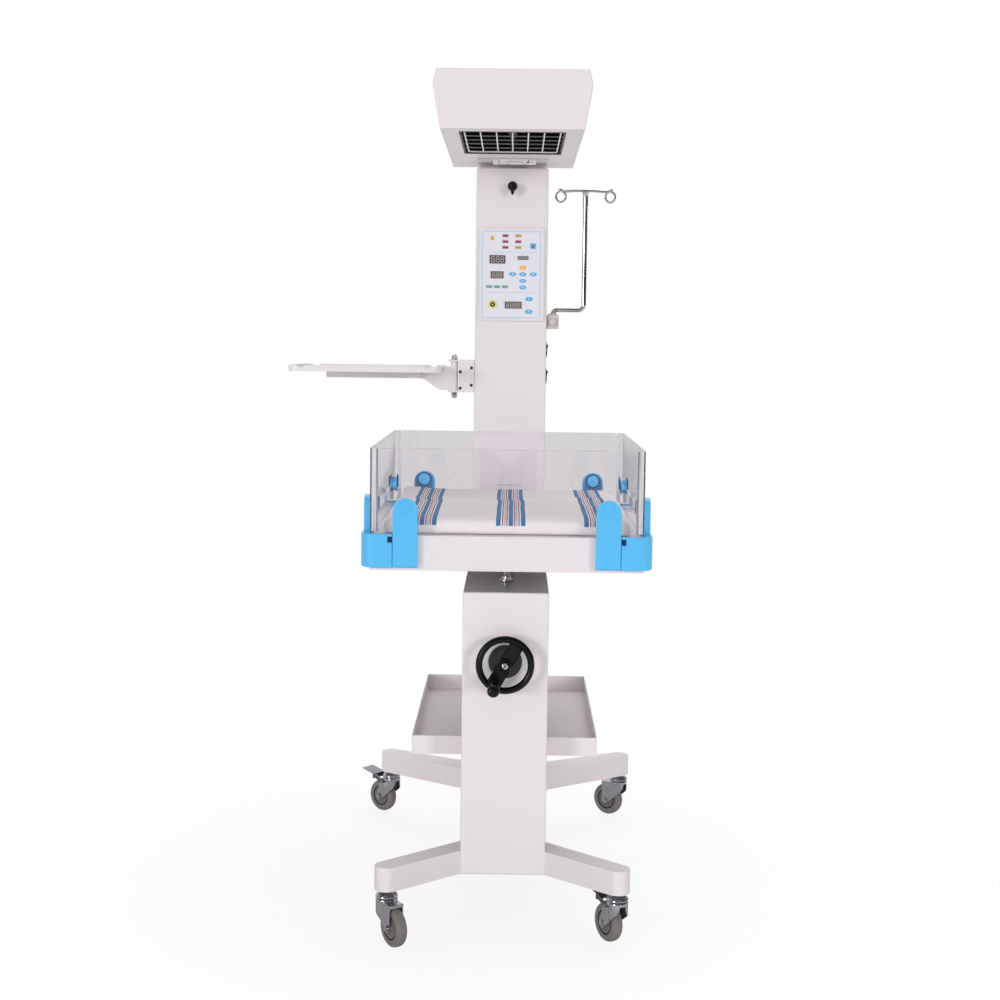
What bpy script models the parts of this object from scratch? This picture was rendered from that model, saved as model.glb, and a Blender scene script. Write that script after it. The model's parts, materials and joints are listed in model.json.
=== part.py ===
"""Infant radiant warmer on four casters, in metres with +Z up.

Before the last step X points to the right of someone at the handwheel, Y points away from them, Y is zero at the
front face of the bed's clear panels, and Z is zero on the floor. The last step moves the whole object so that its
origin is under the middle of its box.
"""
import math

import bmesh
import bpy
from mathutils import Matrix, Vector

# Fits that all pieces share
GAP = 0.0003
RUNNING_GAP = 0.0004
SWING_GAP = 0.0008
OVERRUN = 0.010
SINK = 0.001
STEPS = 32
SMALL_STEPS = 16
FLAT = math.radians(0.5)

# Casters
WHEEL_DIAMETER = 0.075
WHEEL_WIDTH = 0.022
WHEEL_HUB_RADIUS = 0.012
WHEEL_HUB_PROUD = 0.0015
WHEEL_WEB_WIDTH = 0.014
TYRE_DEPTH = 0.010
TYRE_ROUND = 0.004
WHEEL_STEPS = 24
CASTER_HEIGHT = 0.104
CASTER_TRAIL = 0.028
AXLE_RADIUS = 0.004
AXLE_NUT_RADIUS = 0.0065
AXLE_NUT_DEPTH = 0.004
FORK_WALL = 0.0025
FORK_HEIGHT = 0.083
FORK_BACK = 0.019
FORK_NOSE = 0.022
FORK_FOOT_RADIUS = 0.009
STEM_RADIUS = 0.005
STEM_LENGTH = 0.030
STEM_NUT_RADIUS = 0.009
STEM_NUT_DEPTH = 0.004
BEARING_RADIUS = 0.021
BEARING_RIM = 0.006
PEDAL_PIN_RADIUS = 0.0025
PEDAL_PIN_X = 0.016
PEDAL_PIN_Z = 0.0768
PEDAL_WALL = 0.0022
PEDAL_START = 0.042
PEDAL_END = 0.082
PEDAL_RISE = 0.012
PEDAL_TILT = math.radians(12)
PEDAL_SHOE_DROP = 0.0095
PEDAL_SHOE_LENGTH = 0.006

# Base
BEAM_HEIGHT = 0.047
BASE_WALL = 0.003
LEG_END_RADIUS = 0.0235
LEG_ROOT_X = 0.050
FRONT_LEG_ROOT = 0.066
REAR_LEG_ROOT = 0.080
REAR_LEG_OFFSET = 0.104
BOSS_RADIUS = 0.013
FRONT_STEM_X = 0.220
FRONT_STEM_Y = -0.110
REAR_STEM_X = 0.276
REAR_STEM_Y = 0.746

# Bed
BED_LENGTH = 0.650
BED_WIDTH = 0.534
DECK_CLEARANCE = 0.038
DECK_HEIGHT = 0.068
DECK_WALL = 0.002
DECK_CORNER = 0.010
DECK_RIB_X = 0.060
DECK_RIB_HEIGHT = 0.045
GLASS = 0.0055
GLASS_RISE = 0.1685
GLASS_CORNER = 0.016
GLASS_SPLIT = 0.0006
GLASS_TOP_ROUND = 0.006
MATTRESS_HEIGHT = 0.031
MATTRESS_CROWN = 0.006
MATTRESS_MARGIN = 0.011
MATTRESS_EDGE = 0.009
BLOCK_LENGTH = 0.0615
BLOCK_PROUD = 0.016
BLOCK_RISE = 0.0035
BLOCK_DROP = 0.006
BLOCK_CORNER = 0.026
BLOCK_EDGE = 0.004
BLOCK_NOTCH_WIDTH = 0.009
BLOCK_NOTCH_HEIGHT = 0.012
ARM_WIDTH = 0.048
ARM_THICKNESS = 0.014
ARM_HEIGHT = 0.1355
ARM_EDGE = 0.0068
ARM_GAP = 0.001
ARM_PIN_RADIUS = 0.003
ARM_PIN_LENGTH = 0.012
CLAMP_POST_RADIUS = 0.006
CLAMP_DISC_RADIUS = 0.0153
CLAMP_DISC_DEPTH = 0.006

# Lift column and what it holds
COLUMN_WIDTH = 0.167
COLUMN_WALL = 0.002
COLUMN_EDGE = 0.004
LIFT_OVERHANG = 0.020
LIFT_DEPTH = 0.380
LIFT_TOP = 0.664
SCREW_SETBACK = 0.150
SCREW_RADIUS = 0.006
SCREW_LENGTH = 0.225
PAD_RADIUS = 0.012
PIVOT_INSET = 0.020
PIVOT_RISE = 0.028
PIVOT_PIN_RADIUS = 0.004
PIVOT_EAR_RADIUS = 0.008
PIVOT_EAR_WALL = 0.004
PIVOT_LUG_WIDTH = 0.016
PIVOT_LUG_RADIUS = 0.0095
PIVOT_FOOT_LENGTH = 0.036
PIVOT_FOOT_WIDTH = 0.060
PIVOT_FOOT_DEPTH = 0.003
PIVOT_HEAD_RADIUS = 0.0065
PIVOT_HEAD_DEPTH = 0.003
BUSH_FLANGE_RADIUS = 0.0142
BUSH_FLANGE_DEPTH = 0.0045
BUSH_COLLAR_RADIUS = 0.009
BUSH_COLLAR_DEPTH = 0.006
BUSH_SPIGOT_RADIUS = 0.0105
BUSH_SPIGOT_DEPTH = 0.010
WHEEL_BUSH_RADIUS = 0.026
WHEEL_BUSH_DEPTH = 0.006
WHEEL_BUSH_NECK = 0.013
SHAFT_Z = 0.529
SHAFT_RADIUS = 0.006
HANDWHEEL_STANDOFF = 0.034
HANDWHEEL_RADIUS = 0.0500
HANDWHEEL_RIM = 0.0066
HANDWHEEL_HUB_RADIUS = 0.0130
HANDWHEEL_HUB_DEPTH = 0.024
SPOKE_WIDTH = 0.027
SPOKE_DEPTH = 0.008
SPOKE_ANGLE = math.radians(60)
GRIP_RADIUS_OUT = 0.042
GRIP_LENGTH = 0.074
GRIP_BASE_RADIUS = 0.0090
GRIP_END_RADIUS = 0.0120
GRIP_SPINDLE_RADIUS = 0.004
GEAR_PITCH_RADIUS = 0.016
GEAR_FACE = 0.005
GEAR_TEETH = 14
GEAR_ADDENDUM = 0.0015
GEAR_DEDENDUM = 0.0024
GEAR_HUB_RADIUS = 0.011
GEAR_HUB_LENGTH = 0.010
SHELF_THICKNESS = 0.004

# Storage tray
STORE_WIDTH = 0.370
STORE_LENGTH = 0.600
STORE_SETBACK = 0.060
STORE_HEIGHT = 0.037
STORE_RIM_Z = 0.361
STORE_WALL = 0.002
STORE_EDGE = 0.003

# Rear column and what it carries
COLUMN_SETBACK = 0.035
REAR_DEPTH = 0.150
REAR_TOP = 1.547
REAR_COVER_WALL = 0.002
REAR_COVER_INSET = 0.002
VENT_COUNT = 9
VENT_WIDTH = 0.080
VENT_HEIGHT = 0.005
VENT_PITCH = 0.014
VENT_BOTTOM_Z = 1.250
INLET_Z = 0.300
INLET_WIDTH = 0.048
INLET_HEIGHT = 0.028
INLET_DEPTH = 0.022
INLET_FLANGE = 0.006
INLET_POCKET = 0.004
PANEL_WIDTH = 0.1520
PANEL_HEIGHT = 0.2140
PANEL_DEPTH = 0.005
PANEL_BOTTOM_Z = 1.195
PANEL_ROUND = 0.006
PANEL_RIM = 0.006
PANEL_RECESS = 0.001
BOARD_MARGIN = 0.020
BOARD_THICKNESS = 0.0016
BOARD_SETBACK = 0.015
BOARD_POST_RADIUS = 0.003
KNOB_Z = 1.503
KNOB_RADIUS = 0.0115
KNOB_NECK_RADIUS = 0.0055
KNOB_COLLAR_RADIUS = 0.0090
KNOB_COLLAR_DEPTH = 0.005
KNOB_STEM_RADIUS = 0.004
KNOB_PULL = 0.008
SWITCH_WIDTH = 0.016
SWITCH_HEIGHT = 0.025
SWITCH_HOLE_HEIGHT = 0.030
SWITCH_PROUD = 0.0055
SWITCH_DIP = 0.0028
SWITCH_SEAT = 0.008
SWITCH_Y_INSET = 0.008
SWITCH_UPPER_Z = 1.129
SWITCH_LOWER_Z = 1.068

# Instrument tray
BRACKET_WIDTH = 0.037
BRACKET_DEPTH = 0.030
BRACKET_Y_INSET = 0.005
BRACKET_BOTTOM_Z = 1.0275
BRACKET_HEIGHT = 0.076
BRACKET_LUG = 0.004
HINGE_PIN_X = -0.131
HINGE_PIN_RADIUS = 0.004
HINGE_HUB_RADIUS = 0.0085
HINGE_NUT_RADIUS = 0.0063
HINGE_NUT_DEPTH = 0.008
TRAY_ARM_WIDTH = 0.032
TRAY_ARM_DEPTH = 0.0155
TRAY_ARM_END_X = -0.431
TRAY_ARM_CURVE_START_X = -0.212
TRAY_ARM_CURVE_END_X = -0.158
TRAY_BOTTOM_Z = 1.0745
TRAY_HEIGHT = 0.0135
TRAY_LENGTH = 0.347
TRAY_DEPTH = 0.300
TRAY_END_X = -0.157
TRAY_WALL = 0.0025
TRAY_CORNER = 0.020
TRAY_NOTCH = 0.007
TRAY_NOTCH_DEPTH = 0.004
TRAY_NOTCH_INSET = 0.030

# Drip pole
CLAMP_WIDTH = 0.028
CLAMP_DEPTH = 0.040
CLAMP_HEIGHT = 0.0325
CLAMP_BOTTOM_Z = 1.178
CLAMP_Y_INSET = 0.010
CLAMP_EDGE = 0.003
POLE_RADIUS = 0.0055
POLE_REACH = 0.0870
POLE_CRANK_Z = 1.2227
POLE_BEND = 0.012
POLE_TOP_Z = 1.4990
POLE_SEAT = 0.020
CROSS_BAR_LENGTH = 0.116
CROSS_BAR_RADIUS = 0.0035
CROSS_BAR_SAG = 0.0030
RING_RADIUS = 0.0105
RING_WIRE = 0.0023
RING_DROP = 0.0125

# Head
HEAD_LENGTH = 0.704
HEAD_OVERHANG = 0.072
HEAD_RISE = 0.016
HEAD_HEIGHT = 0.117
HEAD_LID_HEIGHT = 0.032
HEAD_BOTTOM_WIDTH = 0.286
HEAD_MIDDLE_WIDTH = 0.316
HEAD_TOP_WIDTH = 0.302
HOOD_WALL = 0.0015
HOOD_EDGE = 0.003
HEAD_BASE_WALL = 0.0015
WINDOW_WIDTH = 0.208
WINDOW_LENGTH = 0.370
WINDOW_INSET = 0.047
GRILLE_WIRE = 0.003
GRILLE_BARS = 7
GRILLE_CROSS_WIRES = 5
GRILLE_MARGIN = 0.004
GRILLE_SEAT = 0.002
REFLECTOR_HEIGHT = 0.085
REFLECTOR_WALL = 0.0012
REFLECTOR_MARGIN = 0.0035
REFLECTOR_STEPS = 16
HEATER_RADIUS = 0.009
HEATER_Z_RISE = 0.040
HEATER_OVERHANG = 0.012
SWIVEL_PLATE_WIDTH = 0.162
SWIVEL_PLATE_LENGTH = 0.190
SWIVEL_PLATE_DEPTH = 0.003
SWIVEL_FLANGE_RADIUS = 0.034
SWIVEL_POST_RADIUS = 0.022
SWIVEL_POST_LENGTH = 0.065
SLEEVE_WALL = 0.008
SLEEVE_LENGTH = 0.025

# Places that follow from the sizes above
WHEEL_RADIUS = WHEEL_DIAMETER / 2
BASE_TOP = CASTER_HEIGHT + BEAM_HEIGHT
COLUMN_X = COLUMN_WIDTH / 2
BED_X = BED_WIDTH / 2
LIFT_FRONT = -LIFT_OVERHANG
LIFT_BACK = LIFT_FRONT + LIFT_DEPTH
SCREW_Y = LIFT_FRONT + SCREW_SETBACK
PIVOT_Y = LIFT_BACK - PIVOT_INSET
PIVOT_Z = LIFT_TOP + PIVOT_RISE
DECK_BOTTOM = LIFT_TOP + DECK_CLEARANCE
DECK_TOP = DECK_BOTTOM + DECK_HEIGHT
GLASS_BOTTOM = DECK_TOP + GAP
GLASS_TOP = GLASS_BOTTOM + GLASS_RISE
BLOCK_BOTTOM = DECK_BOTTOM + BLOCK_DROP
BLOCK_TOP = DECK_TOP + BLOCK_RISE
ARM_BOTTOM = BLOCK_BOTTOM
ARM_AXIS_Z = ARM_BOTTOM + ARM_THICKNESS / 2
ARM_AXIS_OUT = GAP + ARM_THICKNESS / 2
CLAMP_POST_Z = ARM_BOTTOM + ARM_HEIGHT - ARM_WIDTH / 2
ARM_START = BLOCK_LENGTH - BLOCK_PROUD + ARM_GAP
REAR_FRONT = BED_LENGTH + COLUMN_SETBACK
REAR_BACK = REAR_FRONT + REAR_DEPTH
REAR_BOTTOM = BASE_TOP + GAP
SWIVEL_Y = REAR_FRONT + REAR_DEPTH / 2
GEAR_TOP_Z = SHAFT_Z - GEAR_PITCH_RADIUS + GEAR_FACE
GEAR_SEAT_Z = SHAFT_Z - GEAR_PITCH_RADIUS - GEAR_HUB_LENGTH
SHELF_TOP = GEAR_SEAT_Z - GAP
HANDWHEEL_Y = LIFT_FRONT - HANDWHEEL_STANDOFF
HEAD_BOTTOM = REAR_TOP + HEAD_RISE
HEAD_BACK = SWIVEL_Y + HEAD_OVERHANG
HEAD_FRONT = HEAD_BACK - HEAD_LENGTH
WINDOW_Y = HEAD_FRONT + WINDOW_INSET + WINDOW_LENGTH / 2
HINGE_PIN_Y = REAR_FRONT + BRACKET_Y_INSET + BRACKET_DEPTH / 2
CLAMP_Y = REAR_FRONT + CLAMP_Y_INSET + CLAMP_DEPTH / 2
POLE_FOOT_X = COLUMN_X + GAP + CLAMP_WIDTH / 2
POLE_X = COLUMN_X + POLE_REACH
SWITCH_Y = REAR_FRONT + SWITCH_Y_INSET + SWITCH_WIDTH / 2

# Each material: colour, metallic and roughness
FINISHES = {
    "white_paint": ((0.80, 0.78, 0.79), 0.0, 0.40),
    "white_plastic": ((0.80, 0.77, 0.77), 0.0, 0.45),
    "beige_plastic": ((0.62, 0.57, 0.54), 0.0, 0.45),
    "blue_plastic": ((0.090, 0.50, 0.90), 0.0, 0.35),
    "black_plastic": ((0.010, 0.010, 0.011), 0.0, 0.30),
    "clear_panel": ((0.93, 0.94, 0.97), 0.0, 0.05),
    "sheet": ((0.80, 0.79, 0.78), 0.0, 0.90),
    "chrome": ((0.62, 0.62, 0.64), 1.0, 0.12),
    "steel": ((0.45, 0.45, 0.46), 1.0, 0.30),
    "grey_rubber": ((0.25, 0.25, 0.24), 0.0, 0.60),
    "reflector_metal": ((0.50, 0.50, 0.52), 1.0, 0.20),
    "heater_ceramic": ((0.30, 0.28, 0.26), 0.0, 0.60),
    "board": ((0.02, 0.16, 0.06), 0.0, 0.50),
}


def fresh_collection(name):
    """A new collection linked to the scene."""
    collection = bpy.data.collections.new(name)
    bpy.context.scene.collection.children.link(collection)
    return collection


for old in list(bpy.data.objects):
    bpy.data.objects.remove(old)
PARTS = fresh_collection("infant_radiant_warmer")
CUTTERS = fresh_collection("cutters")


def finish_named(name):
    """The material of that name, made on first use."""
    found = bpy.data.materials.get(name)
    if found:
        return found
    colour, metallic, roughness = FINISHES[name]
    made = bpy.data.materials.new(name)
    made.use_nodes = True
    shader = made.node_tree.nodes["Principled BSDF"]
    shader.inputs["Base Color"].default_value = (*colour, 1)
    shader.inputs["Metallic"].default_value = metallic
    shader.inputs["Roughness"].default_value = roughness
    made.diffuse_color = (*colour, 1)
    return made


def placed(name, mesh, place=(0, 0, 0)):
    """An object for the mesh, in the parts' collection."""
    piece = bpy.data.objects.new(name, mesh)
    piece.location = place
    PARTS.objects.link(piece)
    return piece


def face_out(shape):
    """Has every face of a closed bmesh point outwards."""
    bmesh.ops.recalc_face_normals(shape, faces=shape.faces)
    if shape.calc_volume(signed=True) < 0:
        bmesh.ops.reverse_faces(shape, faces=shape.faces)


def from_bmesh(name, shape, place=(0, 0, 0)):
    """An object from a bmesh, which is freed."""
    face_out(shape)
    mesh = bpy.data.meshes.new(name)
    shape.to_mesh(mesh)
    shape.free()
    return placed(name, mesh, place)


def block(name, low, high, edge=0, along=(2,)):
    """A box between two corners, with its edges along the given axes rounded."""
    low, high = Vector(low), Vector(high)
    shape = bmesh.new()
    bmesh.ops.create_cube(shape, size=1)
    bmesh.ops.scale(shape, vec=high - low, verts=shape.verts)
    if edge:
        chosen = [e for e in shape.edges if lies_along(e, along)]
        bmesh.ops.bevel(shape, geom=chosen, offset=edge, segments=3, profile=0.5, affect="EDGES")
    return from_bmesh(name, shape, (low + high) / 2)


def lies_along(edge, axes):
    """Whether an edge runs along one of the axes."""
    run = edge.verts[0].co - edge.verts[1].co
    return max(range(3), key=lambda axis: abs(run[axis])) in axes


def rod(name, radius, start, end, steps=SMALL_STEPS, turn=0.5):
    """A round bar between two points, with a flat side downwards."""
    start, end = Vector(start), Vector(end)
    run = end - start
    shape = bmesh.new()
    bmesh.ops.create_cone(
        shape, cap_ends=True, segments=steps, radius1=radius, radius2=radius, depth=run.length
    )
    spin = Matrix.Rotation(2 * math.pi * turn / steps, 4, "Z")
    bmesh.ops.transform(shape, matrix=run.to_track_quat("Z", "Y").to_matrix().to_4x4() @ spin, verts=shape.verts)
    return from_bmesh(name, shape, (start + end) / 2)


def turned(name, profile, place, axis=(0, 0, 1), steps=STEPS, spin=0):
    """A profile of (radius, height) turned about an axis through the place; heights run along the axis."""
    mesh = bpy.data.meshes.new(name + "_profile")
    points = [(radius, 0, height) for radius, height in profile]
    mesh.from_pydata(points, [(i, i + 1) for i in range(len(points) - 1)], [])
    piece = placed(name + "_profile", mesh)
    screw = piece.modifiers.new("turn", "SCREW")
    screw.steps = screw.render_steps = steps
    screw.use_merge_vertices = True
    screw.merge_threshold = 0.00001
    screw.use_smooth_shade = False
    solid = as_mesh(piece, name)
    turn_to(solid, axis, spin)
    solid.location = place
    return solid


def turn_to(piece, axis, spin=0):
    """Turns a mesh made about +Z to the given axis, after a spin about +Z, and has its faces point out."""
    shape = bmesh.new()
    shape.from_mesh(piece.data)
    matrix = Vector(axis).to_track_quat("Z", "Y").to_matrix().to_4x4() @ Matrix.Rotation(spin, 4, "Z")
    bmesh.ops.transform(shape, matrix=matrix, verts=shape.verts)
    face_out(shape)
    shape.to_mesh(piece.data)
    shape.free()


def as_mesh(piece, name):
    """The evaluated piece as a plain mesh object of that name; the piece is removed."""
    bpy.context.view_layer.update()
    graph = bpy.context.evaluated_depsgraph_get()
    mesh = bpy.data.meshes.new_from_object(piece.evaluated_get(graph))
    matrix = piece.matrix_world.copy()
    bpy.data.objects.remove(piece)
    shape = bmesh.new()
    shape.from_mesh(mesh)
    bmesh.ops.remove_doubles(shape, verts=shape.verts, dist=0.00001)
    face_out(shape)
    shape.to_mesh(mesh)
    shape.free()
    mesh.name = name
    solid = placed(name, mesh)
    solid.matrix_world = matrix
    return solid


def slab(name, outline, low, high, facing="Z"):
    """A flat outline given a thickness from low to high along the axis that it faces.

    The outline's two coordinates are (X, Y) when it faces Z, (X, Z) when it faces Y and (Y, Z) when it faces X.
    """
    curve = bpy.data.curves.new(name + "_outline", "CURVE")
    curve.dimensions = "2D"
    curve.fill_mode = "BOTH"
    curve.extrude = (high - low) / 2
    spline = curve.splines.new("POLY")
    spline.points.add(len(outline) - 1)
    for point, (across, up) in zip(spline.points, outline):
        point.co = (across, up, 0, 1)
    spline.use_cyclic_u = True
    piece = placed(name + "_outline", curve)
    solid = as_mesh(piece, name)
    middle = (low + high) / 2
    columns = {
        "Z": ((1, 0, 0), (0, 1, 0), (0, 0, 1)),
        "Y": ((1, 0, 0), (0, 0, 1), (0, -1, 0)),
        "X": ((0, 1, 0), (0, 0, 1), (1, 0, 0)),
    }[facing]
    spin = Matrix(columns).transposed().to_4x4()
    shape = bmesh.new()
    shape.from_mesh(solid.data)
    bmesh.ops.dissolve_limit(shape, angle_limit=FLAT, verts=shape.verts, edges=shape.edges)
    bmesh.ops.transform(shape, matrix=spin, verts=shape.verts)
    face_out(shape)
    shape.to_mesh(solid.data)
    shape.free()
    solid.location = {"Z": (0, 0, middle), "Y": (0, middle, 0), "X": (middle, 0, 0)}[facing]
    return solid


def tube(name, points, radius, closed=False, sides=2):
    """A bent round bar through the points."""
    curve = bpy.data.curves.new(name + "_path", "CURVE")
    curve.dimensions = "3D"
    curve.bevel_depth = radius
    curve.bevel_resolution = sides
    curve.use_fill_caps = not closed
    spline = curve.splines.new("POLY")
    spline.points.add(len(points) - 1)
    for point, place in zip(spline.points, points):
        point.co = (*place, 1)
    spline.use_cyclic_u = closed
    return as_mesh(placed(name + "_path", curve), name)


def arc(centre, radius, start, end, steps):
    """Points on an arc about a centre, angles in degrees."""
    angles = [math.radians(start + (end - start) * i / steps) for i in range(steps + 1)]
    return [(centre[0] + radius * math.cos(a), centre[1] + radius * math.sin(a)) for a in angles]


def rounded_rectangle(low, high, radius, steps=4):
    """The outline of a rectangle with round corners."""
    (x0, y0), (x1, y1) = low, high
    centres = ((x1 - radius, y0 + radius), (x1 - radius, y1 - radius), (x0 + radius, y1 - radius), (x0 + radius, y0 + radius))
    outline = []
    for quarter, centre in enumerate(centres):
        start = 90 * quarter - 90
        outline += arc(centre, radius, start, start + 90, steps)
    return outline


def boolean(piece, operation, others):
    """Joins or cuts the piece with others, which become hidden helpers."""
    for other in others:
        step = piece.modifiers.new(operation.lower(), "BOOLEAN")
        step.operation = operation
        step.solver = "EXACT"
        step.object = other
        PARTS.objects.unlink(other)
        CUTTERS.objects.link(other)
        other.hide_render = True
        other.display_type = "WIRE"
    return piece


def cut(piece, *others):
    """Takes the others away from the piece."""
    return boolean(piece, "DIFFERENCE", others)


def join(piece, *others):
    """Makes the piece and the others one body."""
    return boolean(piece, "UNION", others)


def dressed(piece, finish, smooth=True):
    """Gives the piece its material and its shading."""
    piece.data.materials.clear()
    piece.data.materials.append(finish_named(finish))
    if smooth:
        piece.data.shade_smooth()
        piece.data.set_sharp_from_angle(angle=math.radians(35))
    return piece


def pivot(name, place, parent, turn=0):
    """An empty on a joint's axis."""
    empty = bpy.data.objects.new(name, None)
    empty.empty_display_size = OVERRUN
    PARTS.objects.link(empty)
    carried(empty, parent)
    empty.location = Vector(place) - world_place(parent)
    empty.rotation_euler.z = turn
    return empty


def world_place(empty):
    """Where an empty stands before the last step."""
    place = Vector((0, 0, 0))
    while empty:
        place += empty.location
        empty = empty.parent
    return place


def carried(piece, empty):
    """Parents the piece to the empty and keeps it, and the helpers that shape it, where they are."""
    pieces = [piece] + [m.object for m in getattr(piece, "modifiers", []) if m.type == "BOOLEAN"]
    shift = Matrix.Translation(-world_place(empty))
    for each in pieces:
        if each.parent:
            continue
        each.parent = empty
        each.matrix_parent_inverse = shift if each.type == "MESH" else Matrix.Identity(4)
        for step in getattr(each, "modifiers", []):
            if step.type == "BOOLEAN":
                carried(step.object, empty)


def put(piece, finish, empty, smooth=True):
    """Finishes a piece and hangs it on the empty of its body."""
    dressed(piece, finish, smooth)
    carried(piece, empty)
    return piece


def set_down(piece, place, heading, empty, finish):
    """Places a piece made about its own origin, turned by the heading, on its body's empty."""
    dressed(piece, finish)
    for each in helpers_of(piece):
        matrix = Matrix.Translation(Vector(place)) @ Matrix.Rotation(heading, 4, "Z")
        each.matrix_world = matrix @ each.matrix_world
        each.parent = empty
        each.matrix_parent_inverse = Matrix.Translation(-world_place(empty))
    return piece


def helpers_of(piece):
    """The piece and every helper behind its modifiers."""
    bpy.context.view_layer.update()
    found = [piece]
    for each in found:
        found += [m.object for m in each.modifiers if m.type == "BOOLEAN"]
    return found


def base_frame(root):
    """Beam and four legs, pressed from below, with a boss for each caster's stem."""
    half = COLUMN_X - COLUMN_WALL - GAP
    front = LIFT_FRONT + COLUMN_WALL + GAP
    frame = block("base_frame", (-half, front, CASTER_HEIGHT), (half, REAR_BACK, BASE_TOP))
    pocket_top = BASE_TOP - BASE_WALL
    pockets, bosses, bores = [], [], []
    pockets.append(
        block(
            "beam_pocket",
            (-half + BASE_WALL, front + BASE_WALL, CASTER_HEIGHT - OVERRUN),
            (half - BASE_WALL, REAR_BACK - BASE_WALL, pocket_top),
        )
    )
    legs = []
    for side in (-1, 1):
        for rear in (False, True):
            name = leg_name(side, rear)
            outline = leg_outline(side, rear, 0)
            legs.append(slab("leg_" + name, outline, CASTER_HEIGHT, BASE_TOP))
            inner = leg_outline(side, rear, BASE_WALL)
            pockets.append(slab("pocket_" + name, inner, CASTER_HEIGHT - OVERRUN, pocket_top))
            x, y = stem_place(side, rear)
            bosses.append(rod("boss_" + name, BOSS_RADIUS, (x, y, CASTER_HEIGHT), (x, y, BASE_TOP - SINK)))
            top = CASTER_HEIGHT + STEM_LENGTH + GAP
            bores.append(rod("bore_" + name, STEM_RADIUS + RUNNING_GAP, (x, y, CASTER_HEIGHT - OVERRUN), (x, y, top)))
    join(frame, *legs)
    cut(frame, *pockets)
    join(frame, *bosses)
    cut(frame, *bores)
    put(frame, "white_paint", root)


def leg_name(side, rear):
    """Such as front_left."""
    return ("rear" if rear else "front") + ("_left" if side < 0 else "_right")


def stem_place(side, rear):
    """Where a caster's stem stands."""
    return (side * REAR_STEM_X, REAR_STEM_Y) if rear else (side * FRONT_STEM_X, FRONT_STEM_Y)


def leg_outline(side, rear, inset):
    """A leg in plan: a wide root on the beam and a round end about the stem, drawn in by the inset."""
    x, y = REAR_STEM_X if rear else FRONT_STEM_X, REAR_STEM_Y if rear else FRONT_STEM_Y
    near = REAR_FRONT - REAR_LEG_OFFSET if rear else LIFT_FRONT + COLUMN_WALL + GAP
    far = near + (REAR_LEG_ROOT if rear else FRONT_LEG_ROOT)
    root = COLUMN_X
    lead = math.degrees(math.atan2(y - (near + far) / 2, x - root))
    outline = arc((x, y), LEG_END_RADIUS - inset, lead - 80, lead + 100, 8)
    run_in = [(root, far - inset), (LEG_ROOT_X, far - inset), (LEG_ROOT_X, near + inset), (root, near + inset)]
    return [(side * across, along) for across, along in outline + run_in]


def fork_outline():
    """A fork's side plate, broad at the crown and round at the axle."""
    foot = arc((CASTER_TRAIL, WHEEL_RADIUS), FORK_FOOT_RADIUS, -160, 10, 6)
    top = FORK_HEIGHT
    shoulder = WHEEL_DIAMETER - FORK_BACK
    return foot + [(FORK_NOSE + FORK_FOOT_RADIUS, shoulder), (FORK_NOSE, top), (-FORK_BACK, top), (-FORK_BACK, shoulder)]


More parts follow.
